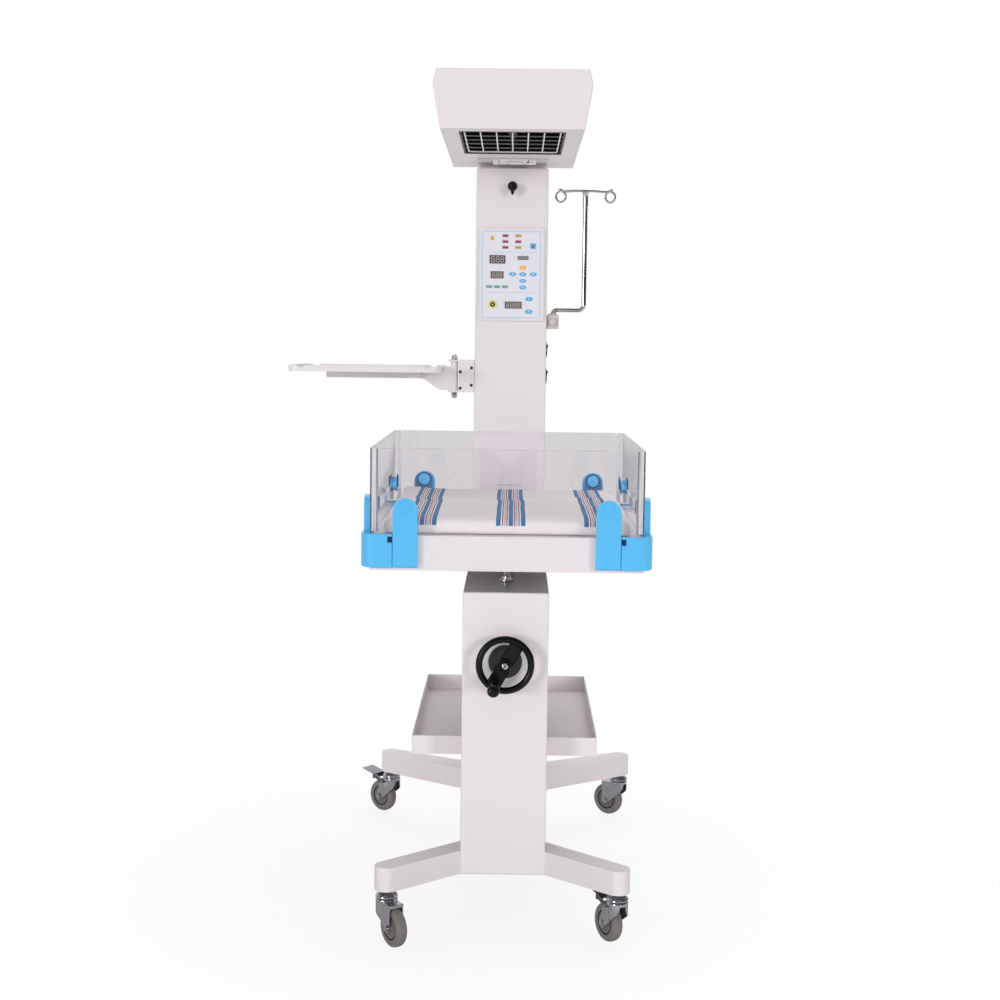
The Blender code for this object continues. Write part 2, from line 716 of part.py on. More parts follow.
def caster(side, rear, heading, braked, root):
    """A swivelling fork with its wheel and, on two casters, a brake pedal."""
    name = leg_name(side, rear)
    x, y = stem_place(side, rear)
    fork_empty = pivot("caster_swivel_" + name, (x, y, CASTER_HEIGHT), root)
    trail = Vector((math.cos(heading), math.sin(heading), 0)) * CASTER_TRAIL
    axle_place = Vector((x, y, WHEEL_RADIUS)) + trail
    wheel_empty = pivot("caster_axle_" + name, axle_place, fork_empty)
    inner = WHEEL_WIDTH / 2 + WHEEL_HUB_PROUD + GAP
    outer = inner + FORK_WALL
    fork = slab("caster_fork_" + name, fork_outline(), -outer, -inner, "Y")
    other = slab("fork_plate", fork_outline(), inner, outer, "Y")
    crown = block("crown", (-FORK_BACK, -outer, FORK_HEIGHT - FORK_WALL), (FORK_NOSE, outer, FORK_HEIGHT))
    axle = rod("axle", AXLE_RADIUS, (CASTER_TRAIL, -outer - SINK, WHEEL_RADIUS), (CASTER_TRAIL, outer + SINK, WHEEL_RADIUS))
    nuts = [
        rod(
            "axle_nut",
            AXLE_NUT_RADIUS,
            (CASTER_TRAIL, face * (outer - SINK), WHEEL_RADIUS),
            (CASTER_TRAIL, face * (outer + AXLE_NUT_DEPTH), WHEEL_RADIUS),
            6,
        )
        for face in (-1, 1)
    ]
    dome_top = CASTER_HEIGHT - GAP - STEM_NUT_DEPTH
    bearing = turned(
        "bearing",
        [
            (0, CASTER_HEIGHT + STEM_LENGTH - GAP),
            (STEM_RADIUS, CASTER_HEIGHT + STEM_LENGTH - GAP),
            (STEM_RADIUS, CASTER_HEIGHT - GAP),
            (STEM_NUT_RADIUS, CASTER_HEIGHT - GAP),
            (STEM_NUT_RADIUS, dome_top),
            (BEARING_RADIUS - BEARING_RIM / 2, dome_top - BEARING_RIM / 2),
            (BEARING_RADIUS, dome_top - BEARING_RIM),
            (BEARING_RADIUS, FORK_HEIGHT + BEARING_RIM / 2),
            (BEARING_RADIUS - BEARING_RIM / 2, FORK_HEIGHT - SINK),
            (0, FORK_HEIGHT - SINK),
        ],
        (0, 0, 0),
        steps=20,
    )
    extra = []
    if braked:
        reach = outer + PEDAL_WALL + 2 * GAP
        extra.append(
            rod("pedal_pin", PEDAL_PIN_RADIUS, (PEDAL_PIN_X, -reach, PEDAL_PIN_Z), (PEDAL_PIN_X, reach, PEDAL_PIN_Z), 12)
        )
    join(fork, other, crown, axle, *nuts, bearing, *extra)
    set_down(fork, (x, y, 0), heading, fork_empty, "chrome")
    centre, half_step = (CASTER_TRAIL, 0, WHEEL_RADIUS), math.pi / WHEEL_STEPS
    wheel = turned("caster_wheel_" + name, wheel_profile(), centre, (0, 1, 0), WHEEL_STEPS, half_step)
    set_down(wheel, (x, y, 0), heading, wheel_empty, "grey_rubber")
    if braked:
        brake_pedal(name, x, y, heading, outer, fork_empty)
    return fork_empty


def wheel_profile():
    """Half of a wheel's section and its mirror image: bore, hub, web and tyre, whose facets just touch the floor."""
    tread = WHEEL_RADIUS / math.cos(math.pi / WHEEL_STEPS)
    bore = AXLE_RADIUS + RUNNING_GAP
    hub = WHEEL_WIDTH / 2 + WHEEL_HUB_PROUD
    web = WHEEL_WEB_WIDTH / 2
    half = WHEEL_WIDTH / 2
    tyre = WHEEL_RADIUS - TYRE_DEPTH
    one = [
        (bore, hub),
        (WHEEL_HUB_RADIUS, hub),
        (WHEEL_HUB_RADIUS, web),
        (tyre, web),
        (tyre, half),
        (tread - TYRE_ROUND, half),
        (tread, half - TYRE_ROUND),
    ]
    other = [(radius, -height) for radius, height in reversed(one)]
    return one + other + [one[0]]


def brake_pedal(name, x, y, heading, outer, fork_empty):
    """Two cheeks on the fork's pedal pin and a tread between them, over the wheel."""
    empty = pivot(
        "brake_pivot_" + name,
        Vector((x, y, PEDAL_PIN_Z)) + Vector((math.cos(heading), math.sin(heading), 0)) * PEDAL_PIN_X,
        fork_empty,
    )
    near = outer + GAP
    far = near + PEDAL_WALL
    eye = PEDAL_PIN_RADIUS + RUNNING_GAP + PEDAL_WALL
    rise = PEDAL_PIN_Z + PEDAL_RISE
    tip = rise + (PEDAL_END - PEDAL_START) * math.sin(PEDAL_TILT)
    cheek = arc((PEDAL_PIN_X, PEDAL_PIN_Z), eye, 100, 290, 6)
    cheek += [(PEDAL_START + eye, rise - eye), (PEDAL_START + eye, rise + PEDAL_WALL), (PEDAL_START, rise + PEDAL_WALL)]
    pedal = slab("brake_pedal_" + name, cheek, -far, -near, "Y")
    other = slab("cheek", cheek, near, far, "Y")
    tread = slab(
        "tread",
        [
            (PEDAL_START, rise),
            (PEDAL_END, tip),
            (PEDAL_END, tip + PEDAL_WALL),
            (PEDAL_START, rise + PEDAL_WALL),
        ],
        -far,
        far,
        "Y",
    )
    shoe = block(
        "shoe",
        (PEDAL_START, -far, rise - PEDAL_SHOE_DROP),
        (PEDAL_START + PEDAL_SHOE_LENGTH, far, rise + PEDAL_WALL / 2),
    )
    hole = rod(
        "pedal_hole",
        PEDAL_PIN_RADIUS + RUNNING_GAP,
        (PEDAL_PIN_X, -far - OVERRUN, PEDAL_PIN_Z),
        (PEDAL_PIN_X, far + OVERRUN, PEDAL_PIN_Z),
        12,
    )
    join(pedal, other, tread, shoe)
    cut(pedal, hole)
    set_down(pedal, (x, y, 0), heading, empty, "chrome")


def lift_column(root):
    """Sheet-metal column, open below, with the shelf that carries the lift gear."""
    inner = COLUMN_X - COLUMN_WALL
    bottom = CASTER_HEIGHT
    column = block("lift_column", (-COLUMN_X, LIFT_FRONT, bottom), (COLUMN_X, LIFT_BACK, LIFT_TOP), COLUMN_EDGE, (0, 1, 2))
    hollow = block(
        "lift_hollow",
        (-inner, LIFT_FRONT + COLUMN_WALL, bottom - OVERRUN),
        (inner, LIFT_BACK - COLUMN_WALL, LIFT_TOP - COLUMN_WALL),
    )
    half_seat = SINK / 2
    shelf = block(
        "lift_shelf",
        (-inner - half_seat, LIFT_FRONT + COLUMN_WALL - half_seat, SHELF_TOP - SHELF_THICKNESS),
        (inner + half_seat, LIFT_BACK - COLUMN_WALL + half_seat, SHELF_TOP),
    )
    screw_way = rod(
        "screw_way", SCREW_RADIUS + RUNNING_GAP, (0, SCREW_Y, bottom), (0, SCREW_Y, SHELF_TOP + OVERRUN)
    )
    bush_hole = rod(
        "bush_hole", BUSH_SPIGOT_RADIUS + RUNNING_GAP, (0, SCREW_Y, LIFT_TOP - OVERRUN), (0, SCREW_Y, LIFT_TOP + OVERRUN)
    )
    wheel_hole = rod(
        "wheel_hole",
        WHEEL_BUSH_NECK + RUNNING_GAP,
        (0, LIFT_FRONT - OVERRUN, SHAFT_Z),
        (0, LIFT_FRONT + COLUMN_WALL + OVERRUN, SHAFT_Z),
    )
    leg_back = LIFT_FRONT + COLUMN_WALL + GAP + FRONT_LEG_ROOT + GAP
    leg_way = block(
        "leg_way",
        (-COLUMN_X - OVERRUN, LIFT_FRONT + COLUMN_WALL, bottom - OVERRUN),
        (COLUMN_X + OVERRUN, leg_back, BASE_TOP + GAP),
    )
    beam_way = block(
        "beam_way", (-inner, LIFT_BACK - OVERRUN, bottom - OVERRUN), (inner, LIFT_BACK + OVERRUN, BASE_TOP + GAP)
    )
    cut(column, hollow)
    join(column, shelf)
    cut(column, screw_way, bush_hole, wheel_hole, leg_way, beam_way)
    put(column, "white_paint", root)


def lift_bush(root):
    """Flanged bush on the column's top that guides the lift screw."""
    bore = SCREW_RADIUS + RUNNING_GAP
    seat = LIFT_TOP + GAP
    collar = seat + BUSH_FLANGE_DEPTH
    profile = [
        (bore, collar + BUSH_COLLAR_DEPTH),
        (BUSH_COLLAR_RADIUS, collar + BUSH_COLLAR_DEPTH),
        (BUSH_COLLAR_RADIUS, collar),
        (BUSH_FLANGE_RADIUS, collar),
        (BUSH_FLANGE_RADIUS, seat),
        (BUSH_SPIGOT_RADIUS, seat),
        (BUSH_SPIGOT_RADIUS, seat - BUSH_SPIGOT_DEPTH),
        (bore, seat - BUSH_SPIGOT_DEPTH),
        (bore, collar + BUSH_COLLAR_DEPTH),
    ]
    put(turned("lift_bush", profile, (0, SCREW_Y, 0), steps=20), "steel", root)


def handwheel_bush(root):
    """Dark bush in the column's front that the handwheel's shaft turns in."""
    bore = SHAFT_RADIUS + RUNNING_GAP
    seat = -LIFT_FRONT + GAP
    profile = [
        (bore, seat + WHEEL_BUSH_DEPTH),
        (WHEEL_BUSH_NECK, seat + WHEEL_BUSH_DEPTH),
        (WHEEL_BUSH_RADIUS, seat + WHEEL_BUSH_DEPTH / 3),
        (WHEEL_BUSH_RADIUS, seat),
        (WHEEL_BUSH_NECK, seat),
        (WHEEL_BUSH_NECK, seat - WHEEL_BUSH_NECK),
        (bore, seat - WHEEL_BUSH_NECK),
        (bore, seat + WHEEL_BUSH_DEPTH),
    ]
    put(turned("handwheel_bush", profile, (0, 0, SHAFT_Z), (0, -1, 0), 24), "black_plastic", root)


def bevel_gear(name, turn):
    """A bevel gear about +Z with its cone's point at the origin and its teeth up to the pitch radius below it."""
    outline = []
    tooth = 2 * math.pi / GEAR_TEETH
    tip, foot = GEAR_PITCH_RADIUS + GEAR_ADDENDUM, GEAR_PITCH_RADIUS - GEAR_DEDENDUM
    for index in range(GEAR_TEETH):
        middle = tooth * (index + turn)
        for share, radius in ((-0.26, foot), (-0.10, tip), (0.10, tip), (0.26, foot)):
            angle = middle + share * tooth
            outline.append((radius * math.cos(angle), radius * math.sin(angle)))
    gear = slab(name, outline, -GEAR_PITCH_RADIUS, -GEAR_PITCH_RADIUS + GEAR_FACE)
    small = (GEAR_PITCH_RADIUS - GEAR_FACE) / GEAR_PITCH_RADIUS
    for vertex in gear.data.vertices:
        if vertex.co.z > 0:
            vertex.co.x *= small
            vertex.co.y *= small
    return gear


def lift_drive(root):
    """Bevel gear with the lift nut, the lift screw, the handwheel and its shaft and grip."""
    gear_empty = pivot("lift_gear_axis", (0, SCREW_Y, SHAFT_Z), root)
    gear = bevel_gear("lift_gear", 0.5)
    gear.location += Vector((0, SCREW_Y, SHAFT_Z))
    hub = rod("gear_hub", GEAR_HUB_RADIUS, (0, SCREW_Y, GEAR_SEAT_Z), (0, SCREW_Y, GEAR_TOP_Z - SINK))
    bore = rod(
        "gear_bore",
        SCREW_RADIUS + RUNNING_GAP,
        (0, SCREW_Y, GEAR_SEAT_Z - OVERRUN),
        (0, SCREW_Y, GEAR_TOP_Z + OVERRUN),
    )
    join(gear, hub)
    cut(gear, bore)
    put(gear, "steel", gear_empty)

    screw_empty = pivot("lift_screw_axis", (0, SCREW_Y, PIVOT_Z), root)
    dome = arc((0, PIVOT_Z), SCREW_RADIUS, 90, 0, 5)
    profile = dome + [(SCREW_RADIUS, PIVOT_Z - SCREW_LENGTH), (0, PIVOT_Z - SCREW_LENGTH)]
    put(turned("lift_screw", profile, (0, SCREW_Y, 0), steps=SMALL_STEPS), "steel", screw_empty)

    wheel_empty = pivot("handwheel_axis", (0, HANDWHEEL_Y, SHAFT_Z), root)
    front = HANDWHEEL_Y - HANDWHEEL_HUB_DEPTH / 2
    tip = SCREW_Y - GEAR_PITCH_RADIUS + GEAR_FACE
    shaft = rod("handwheel_shaft", SHAFT_RADIUS, (0, front, SHAFT_Z), (0, tip - SINK, SHAFT_Z))
    pinion = bevel_gear("pinion", 0.0)
    turn_to(pinion, (0, 1, 0))
    pinion.location = (0, SCREW_Y + pinion_middle(), SHAFT_Z)
    join(shaft, pinion)
    put(shaft, "steel", wheel_empty)
    handwheel(wheel_empty)


def pinion_middle():
    """How far the middle of a bevel gear's face lies from the point where the two shafts' lines meet."""
    return -GEAR_PITCH_RADIUS + GEAR_FACE / 2


def handwheel(wheel_empty):
    """Rim, flat two-way spoke and hub, with the spindle that the grip turns on."""
    ring = [(*place, 0) for place in arc((0, 0), HANDWHEEL_RADIUS, 0, 360 - 360 / STEPS, STEPS - 1)]
    points = [(x, HANDWHEEL_Y, SHAFT_Z + y) for x, y, _ in ring]
    wheel = tube("handwheel", points, HANDWHEEL_RIM, closed=True)
    along = Vector((math.cos(SPOKE_ANGLE), math.sin(SPOKE_ANGLE)))
    across = Vector((-along.y, along.x)) * SPOKE_WIDTH / 2
    ends = [along * HANDWHEEL_RADIUS + across, -along * HANDWHEEL_RADIUS + across]
    ends += [-along * HANDWHEEL_RADIUS - across, along * HANDWHEEL_RADIUS - across]
    outline = [(x, SHAFT_Z + z) for x, z in ends]
    spoke = slab("spoke", outline, HANDWHEEL_Y - SPOKE_DEPTH / 2, HANDWHEEL_Y + SPOKE_DEPTH / 2, "Y")
    half = HANDWHEEL_HUB_DEPTH / 2
    hub = rod(
        "hub", HANDWHEEL_HUB_RADIUS, (0, HANDWHEEL_Y - half, SHAFT_Z), (0, HANDWHEEL_Y + half, SHAFT_Z), 24
    )
    bore = rod(
        "hub_bore",
        SHAFT_RADIUS + RUNNING_GAP,
        (0, HANDWHEEL_Y - half - OVERRUN, SHAFT_Z),
        (0, HANDWHEEL_Y + half + OVERRUN, SHAFT_Z),
    )
    grip_x = -GRIP_RADIUS_OUT * math.cos(SPOKE_ANGLE)
    grip_z = SHAFT_Z - GRIP_RADIUS_OUT * math.sin(SPOKE_ANGLE)
    seat = HANDWHEEL_Y - SPOKE_DEPTH / 2
    spindle_end = seat - GRIP_LENGTH + GRIP_END_RADIUS
    spindle = rod("spindle", GRIP_SPINDLE_RADIUS, (grip_x, seat + SINK, grip_z), (grip_x, spindle_end, grip_z), 12)
    join(wheel, spoke, hub)
    cut(wheel, bore)
    join(wheel, spindle)
    put(wheel, "black_plastic", wheel_empty)

    grip_empty = pivot("grip_axis", (grip_x, seat, grip_z), wheel_empty)
    bore_radius = GRIP_SPINDLE_RADIUS + RUNNING_GAP
    start = HANDWHEEL_RIM - SPOKE_DEPTH / 2 + GAP
    rounding = arc((0, GRIP_LENGTH - GRIP_END_RADIUS), GRIP_END_RADIUS, 90, 0, 5)
    profile = rounding + [
        (GRIP_BASE_RADIUS, GRIP_LENGTH / 3),
        (GRIP_BASE_RADIUS, start),
        (bore_radius, start),
        (bore_radius, GRIP_LENGTH - GRIP_END_RADIUS + GAP),
        (0, GRIP_LENGTH - GRIP_END_RADIUS + GAP),
    ]
    grip = turned("wheel_grip", profile, (grip_x, seat, grip_z), (0, -1, 0), 20)
    put(grip, "black_plastic", grip_empty)


def storage_tray(root):
    """Open tray that reaches round the lift column from behind."""
    x = STORE_WIDTH / 2
    back = STORE_SETBACK + STORE_LENGTH
    bottom = STORE_RIM_Z - STORE_HEIGHT
    tray = block("storage_tray", (-x, STORE_SETBACK, bottom), (x, back, STORE_RIM_Z), STORE_EDGE)
    inside = block(
        "store_inside",
        (-x + STORE_WALL, STORE_SETBACK + STORE_WALL, bottom + STORE_WALL),
        (x - STORE_WALL, back - STORE_WALL, STORE_RIM_Z + OVERRUN),
    )
    way_x, way_back = COLUMN_X + GAP, LIFT_BACK + GAP
    wall = block(
        "notch_wall",
        (-way_x - STORE_WALL, STORE_SETBACK + STORE_WALL / 2, bottom + STORE_WALL / 2),
        (way_x + STORE_WALL, way_back + STORE_WALL, STORE_RIM_Z),
    )
    notch = block(
        "notch", (-way_x, STORE_SETBACK - OVERRUN, bottom - OVERRUN), (way_x, way_back, STORE_RIM_Z + OVERRUN)
    )
    cut(tray, inside)
    join(tray, wall)
    cut(tray, notch)
    put(tray, "white_paint", root)


def pivot_bracket(root):
    """Fork on the lift column's top with the pin that the bed tilts on."""
    half = PIVOT_LUG_WIDTH / 2 + GAP
    foot_z = LIFT_TOP + GAP
    bracket = block(
        "pivot_bracket",
        (-PIVOT_FOOT_WIDTH / 2, PIVOT_Y - PIVOT_FOOT_LENGTH / 2, foot_z),
        (PIVOT_FOOT_WIDTH / 2, PIVOT_Y + PIVOT_FOOT_LENGTH / 2, foot_z + PIVOT_FOOT_DEPTH),
    )
    ear = arc((PIVOT_Y, PIVOT_Z), PIVOT_EAR_RADIUS, 0, 180, 8)
    ear += [(PIVOT_Y - PIVOT_FOOT_LENGTH / 3, foot_z + SINK), (PIVOT_Y + PIVOT_FOOT_LENGTH / 3, foot_z + SINK)]
    ears = [
        slab("ear", ear, -half - PIVOT_EAR_WALL, -half, "X"),
        slab("ear", ear, half, half + PIVOT_EAR_WALL, "X"),
    ]
    hole = rod(
        "pivot_hole",
        PIVOT_PIN_RADIUS + RUNNING_GAP,
        (-PIVOT_FOOT_WIDTH, PIVOT_Y, PIVOT_Z),
        (PIVOT_FOOT_WIDTH, PIVOT_Y, PIVOT_Z),
    )
    join(bracket, *ears)
    cut(bracket, hole)
    put(bracket, "steel", root)
    reach = half + PIVOT_EAR_WALL + GAP
    head = reach + PIVOT_HEAD_DEPTH
    profile = [
        (0, head),
        (PIVOT_HEAD_RADIUS, head),
        (PIVOT_HEAD_RADIUS, reach),
        (PIVOT_PIN_RADIUS, reach),
        (PIVOT_PIN_RADIUS, -reach),
        (PIVOT_HEAD_RADIUS, -reach),
        (PIVOT_HEAD_RADIUS, -head),
        (0, -head),
    ]
    put(turned("pivot_pin", profile, (0, PIVOT_Y, PIVOT_Z), (1, 0, 0), SMALL_STEPS), "steel", root)


def bed_deck(bed):
    """Sheet-metal pan, open below, with ribs, the lug on the pivot pin and the post over the lift screw."""
    side = BED_X
    deck = block("bed_deck", (-side, 0, DECK_BOTTOM), (side, BED_LENGTH, DECK_TOP), DECK_CORNER)
    hollow = block(
        "deck_hollow",
        (-side + DECK_WALL, DECK_WALL, DECK_BOTTOM - OVERRUN),
        (side - DECK_WALL, BED_LENGTH - DECK_WALL, DECK_TOP - DECK_WALL),
        DECK_CORNER - DECK_WALL,
    )
    ribs = [
        block(
            "rib",
            (x - DECK_WALL / 2, DECK_WALL / 2, DECK_TOP - DECK_RIB_HEIGHT),
            (x + DECK_WALL / 2, BED_LENGTH - DECK_WALL / 2, DECK_TOP - DECK_WALL / 2),
        )
        for x in (-DECK_RIB_X, DECK_RIB_X)
    ]
    top = DECK_TOP - DECK_WALL / 2
    half = PIVOT_LUG_WIDTH / 2
    lug = block(
        "lug", (-half, PIVOT_Y - PIVOT_LUG_RADIUS, PIVOT_Z), (half, PIVOT_Y + PIVOT_LUG_RADIUS, top)
    )
    eye = rod("lug_eye", PIVOT_LUG_RADIUS, (-half, PIVOT_Y, PIVOT_Z), (half, PIVOT_Y, PIVOT_Z), 24)
    hole = rod(
        "lug_hole",
        PIVOT_PIN_RADIUS + RUNNING_GAP,
        (-half - OVERRUN, PIVOT_Y, PIVOT_Z),
        (half + OVERRUN, PIVOT_Y, PIVOT_Z),
    )
    pad = rod("screw_pad", PAD_RADIUS, (0, SCREW_Y, PIVOT_Z + SCREW_RADIUS + GAP), (0, SCREW_Y, top), 24)
    cut(deck, hollow)
    join(deck, *ribs, lug, eye, pad)
    cut(deck, hole)
    put(deck, "white_paint", bed)


def mattress(bed):
    """A thin pad, flat below, crowned above, with its sides drawn in between the corners."""
    side = BED_X - GLASS - MATTRESS_MARGIN
    near = GLASS + MATTRESS_MARGIN
    far = BED_LENGTH - GLASS - MATTRESS_MARGIN
    shape = bmesh.new()
    bmesh.ops.create_cube(shape, size=2)
    bmesh.ops.subdivide_edges(shape, edges=shape.edges, cuts=9, use_grid_fill=True)
    middle, half_y, half_z = (near + far) / 2, (far - near) / 2, MATTRESS_HEIGHT / 2
    for vertex in shape.verts:
        u, v, w = vertex.co
        crown = (1 - u * u) * (1 - v * v) * (w + 1) / 2 * MATTRESS_CROWN
        edge = MATTRESS_EDGE * w * w
        x = u * (side - edge - MATTRESS_CROWN * (1 - v * v) * (1 - w * w) * -0.5)
        y = v * (half_y - edge)
        z = w * (half_z - MATTRESS_CROWN / 2)
        lift = half_z - MATTRESS_CROWN / 2
        vertex.co = (x, middle + y, DECK_TOP + GAP + lift + z + crown)
    put(from_bmesh("mattress", shape), "sheet", bed)


def corner_block(side, rear, bed):
    """Blue block round a corner of the deck, with a hole for the pin of the arm on each side of it."""
    name = leg_name(side, rear)
    length, thick, radius = BLOCK_LENGTH, BLOCK_PROUD - GAP, BLOCK_CORNER
    outline = arc((radius, radius), radius, 180, 270, 8)
    outline += [(length, 0), (length, thick), (thick, thick), (thick, length), (0, length)]
    corner = slab("corner_block_" + name, outline, BLOCK_BOTTOM, BLOCK_TOP)
    shape = bmesh.new()
    shape.from_mesh(corner.data)
    low = min(v.co.z for v in shape.verts)
    rims = [e for e in shape.edges if all(abs(v.co.z - low) < SINK / 2 for v in e.verts) and outer_rim(e, thick)]
    bmesh.ops.bevel(shape, geom=rims, offset=BLOCK_EDGE, segments=2, profile=0.5, affect="EDGES")
    shape.to_mesh(corner.data)
    shape.free()
    notch_low = BLOCK_TOP - BLOCK_NOTCH_HEIGHT - BLOCK_EDGE
    notch = block(
        "notch",
        (length - BLOCK_NOTCH_WIDTH, -OVERRUN, notch_low),
        (length + OVERRUN, BLOCK_PROUD / 2, notch_low + BLOCK_NOTCH_HEIGHT),
    )
    out = BLOCK_PROUD - ARM_AXIS_OUT
    reach = length - ARM_PIN_LENGTH - GAP
    hole_radius = ARM_PIN_RADIUS + RUNNING_GAP
    holes = [
        rod("pin_hole", hole_radius, (reach, out, ARM_AXIS_Z), (length + OVERRUN, out, ARM_AXIS_Z), 12),
        rod("pin_hole", hole_radius, (out, reach, ARM_AXIS_Z), (out, length + OVERRUN, ARM_AXIS_Z), 12),
    ]
    cut(corner, notch, *holes)
    flip = Matrix.Diagonal((side * -1, -1 if rear else 1, 1, 1))
    place = (side * (BED_X + BLOCK_PROUD), BED_LENGTH + BLOCK_PROUD if rear else -BLOCK_PROUD, 0)
    mirrored(corner, flip, place)
    put(corner, "blue_plastic", bed)


def outer_rim(edge, thick):
    """Whether an edge of the corner block's lower face lies on its outside."""
    middle = (edge.verts[0].co + edge.verts[1].co) / 2
    return min(middle.x, middle.y) < thick / 4 or (middle.x < BLOCK_CORNER and middle.y < BLOCK_CORNER)


def mirrored(piece, flip, place):
    """Mirrors the meshes of a piece and its helpers by the diagonal matrix, and moves them to the place."""
    for each in helpers_of(piece):
        shape = bmesh.new()
        shape.from_mesh(each.data)
        matrix = Matrix.Translation(Vector(place)) @ flip @ each.matrix_world
        bmesh.ops.transform(shape, matrix=matrix, verts=shape.verts)
        face_out(shape)
        shape.to_mesh(each.data)
        shape.free()
        each.matrix_world = Matrix.Identity(4)


def clamp_arm(name, start, pin_side, turn, place, empty):
    """A blue arm that holds a clear panel.

    It is made as a front arm: its inner face lies just off the panel's outer face at Y zero, X runs along the panel
    from its middle, and the arm lies between start and start plus its width. The pin points to its corner block.
    """
    sign = pin_side
    low, high = sorted((sign * start, sign * (start - ARM_WIDTH)))
    middle = (low + high) / 2
    arm = slab(name, arm_outline(low, high), -GAP - ARM_THICKNESS, -GAP, "Y")
    shape = bmesh.new()
    shape.from_mesh(arm.data)
    floor_z = min(v.co.z for v in shape.verts)
    feet = [
        e for e in shape.edges if lies_along(e, (0,)) and all(abs(v.co.z - floor_z) < SINK / 2 for v in e.verts)
    ]
    bmesh.ops.bevel(shape, geom=feet, offset=ARM_EDGE, segments=3, profile=0.5, affect="EDGES")
    shape.to_mesh(arm.data)
    shape.free()
    post = rod(
        "clamp_post",
        CLAMP_POST_RADIUS,
        (middle, -GAP - SINK, CLAMP_POST_Z),
        (middle, GLASS + GAP + SINK, CLAMP_POST_Z),
    )
    disc = rod(
        "clamp_disc",
        CLAMP_DISC_RADIUS,
        (middle, GLASS + GAP, CLAMP_POST_Z),
        (middle, GLASS + GAP + CLAMP_DISC_DEPTH, CLAMP_POST_Z),
        24,
    )
    out = -ARM_AXIS_OUT
    pin = rod(
        "arm_pin",
        ARM_PIN_RADIUS,
        (sign * (start - SINK), out, ARM_AXIS_Z),
        (sign * (start + ARM_GAP + ARM_PIN_LENGTH - SINK), out, ARM_AXIS_Z),
        12,
    )
    join(arm, post, disc, pin)
    set_down(arm, place, turn, empty, "blue_plastic")


def arm_outline(low, high):
    """An arm seen from outside: square foot, round head."""
    middle, radius = (low + high) / 2, (high - low) / 2
    return arc((middle, CLAMP_POST_Z), radius, 0, 180, 12) + [(low, ARM_BOTTOM), (high, ARM_BOTTOM)]


def end_panel(name, rear, empty):
    """The clear panel across the bed's front or rear, its lower corners cut clear of the blocks."""
    half = BED_X - GLASS_CORNER - GLASS_SPLIT
    clear_x = BED_X - ARM_START
    clear_z = BLOCK_TOP + ARM_EDGE - BLOCK_RISE
    outline = [(-half, GLASS_BOTTOM), (half, GLASS_BOTTOM)] + rounded_top(half, GLASS_TOP)
    low, high = (BED_LENGTH - GLASS, BED_LENGTH) if rear else (0, GLASS)
    panel = slab(name, outline, low, high, "Y")
    corners = [
        block(
            "corner_clear",
            (min(x, side * BED_X), low - OVERRUN, GLASS_BOTTOM - OVERRUN),
            (max(x, side * BED_X), high + OVERRUN, clear_z),
        )
        for side, x in ((-1, -clear_x), (1, clear_x))
    ]
    across = clear_x - ARM_WIDTH / 2
    holes = [
        rod(
            "clamp_hole",
            CLAMP_POST_RADIUS + RUNNING_GAP,
            (x, low - OVERRUN, CLAMP_POST_Z),
            (x, high + OVERRUN, CLAMP_POST_Z),
        )
        for x in (-across, across)
    ]
    cut(panel, *corners, *holes)
    put(panel, "clear_panel", empty)


def rounded_top(half, top):
    """The upper edge of a clear panel, right to left, with small round corners."""
    radius = GLASS_TOP_ROUND
    right = arc((half - radius, top - radius), radius, 0, 90, 3)
    left = arc((-half + radius, top - radius), radius, 90, 180, 3)
    return right + left


def side_panel(name, side, empty):
    """The clear panel along a side of the bed, bent round at both ends."""
    outer, inner = GLASS_CORNER, GLASS_CORNER - GLASS
    x = BED_X
    near, far = GLASS_CORNER, BED_LENGTH - GLASS_CORNER
    outline = arc((x - outer, near), outer, -90, 0, 6) + arc((x - outer, far), outer, 0, 90, 6)
    outline += arc((x - outer, far), inner, 90, 0, 6) + arc((x - outer, near), inner, 0, -90, 6)
    outline = [(side * across, along) for across, along in outline]
    panel = slab(name, outline, GLASS_BOTTOM, GLASS_TOP)
    clear_z = BLOCK_TOP + ARM_EDGE - BLOCK_RISE
    inside, outside = side * (x - outer - OVERRUN), side * (x + OVERRUN)
    ends = [
        block(
            "end_clear",
            (min(inside, outside), low, GLASS_BOTTOM - OVERRUN),
            (max(inside, outside), high, clear_z),
        )
        for low, high in ((-OVERRUN, ARM_START), (BED_LENGTH - ARM_START, BED_LENGTH + OVERRUN))
    ]
    middles = (ARM_START + ARM_WIDTH / 2, BED_LENGTH - ARM_START - ARM_WIDTH / 2)
    holes = [
        rod(
            "clamp_hole",
            CLAMP_POST_RADIUS + RUNNING_GAP,
            (side * (x - GLASS - OVERRUN), y, CLAMP_POST_Z),
            (side * (x + OVERRUN), y, CLAMP_POST_Z),
        )
        for y in middles
    ]
    cut(panel, *ends, *holes)
    put(panel, "clear_panel", empty)


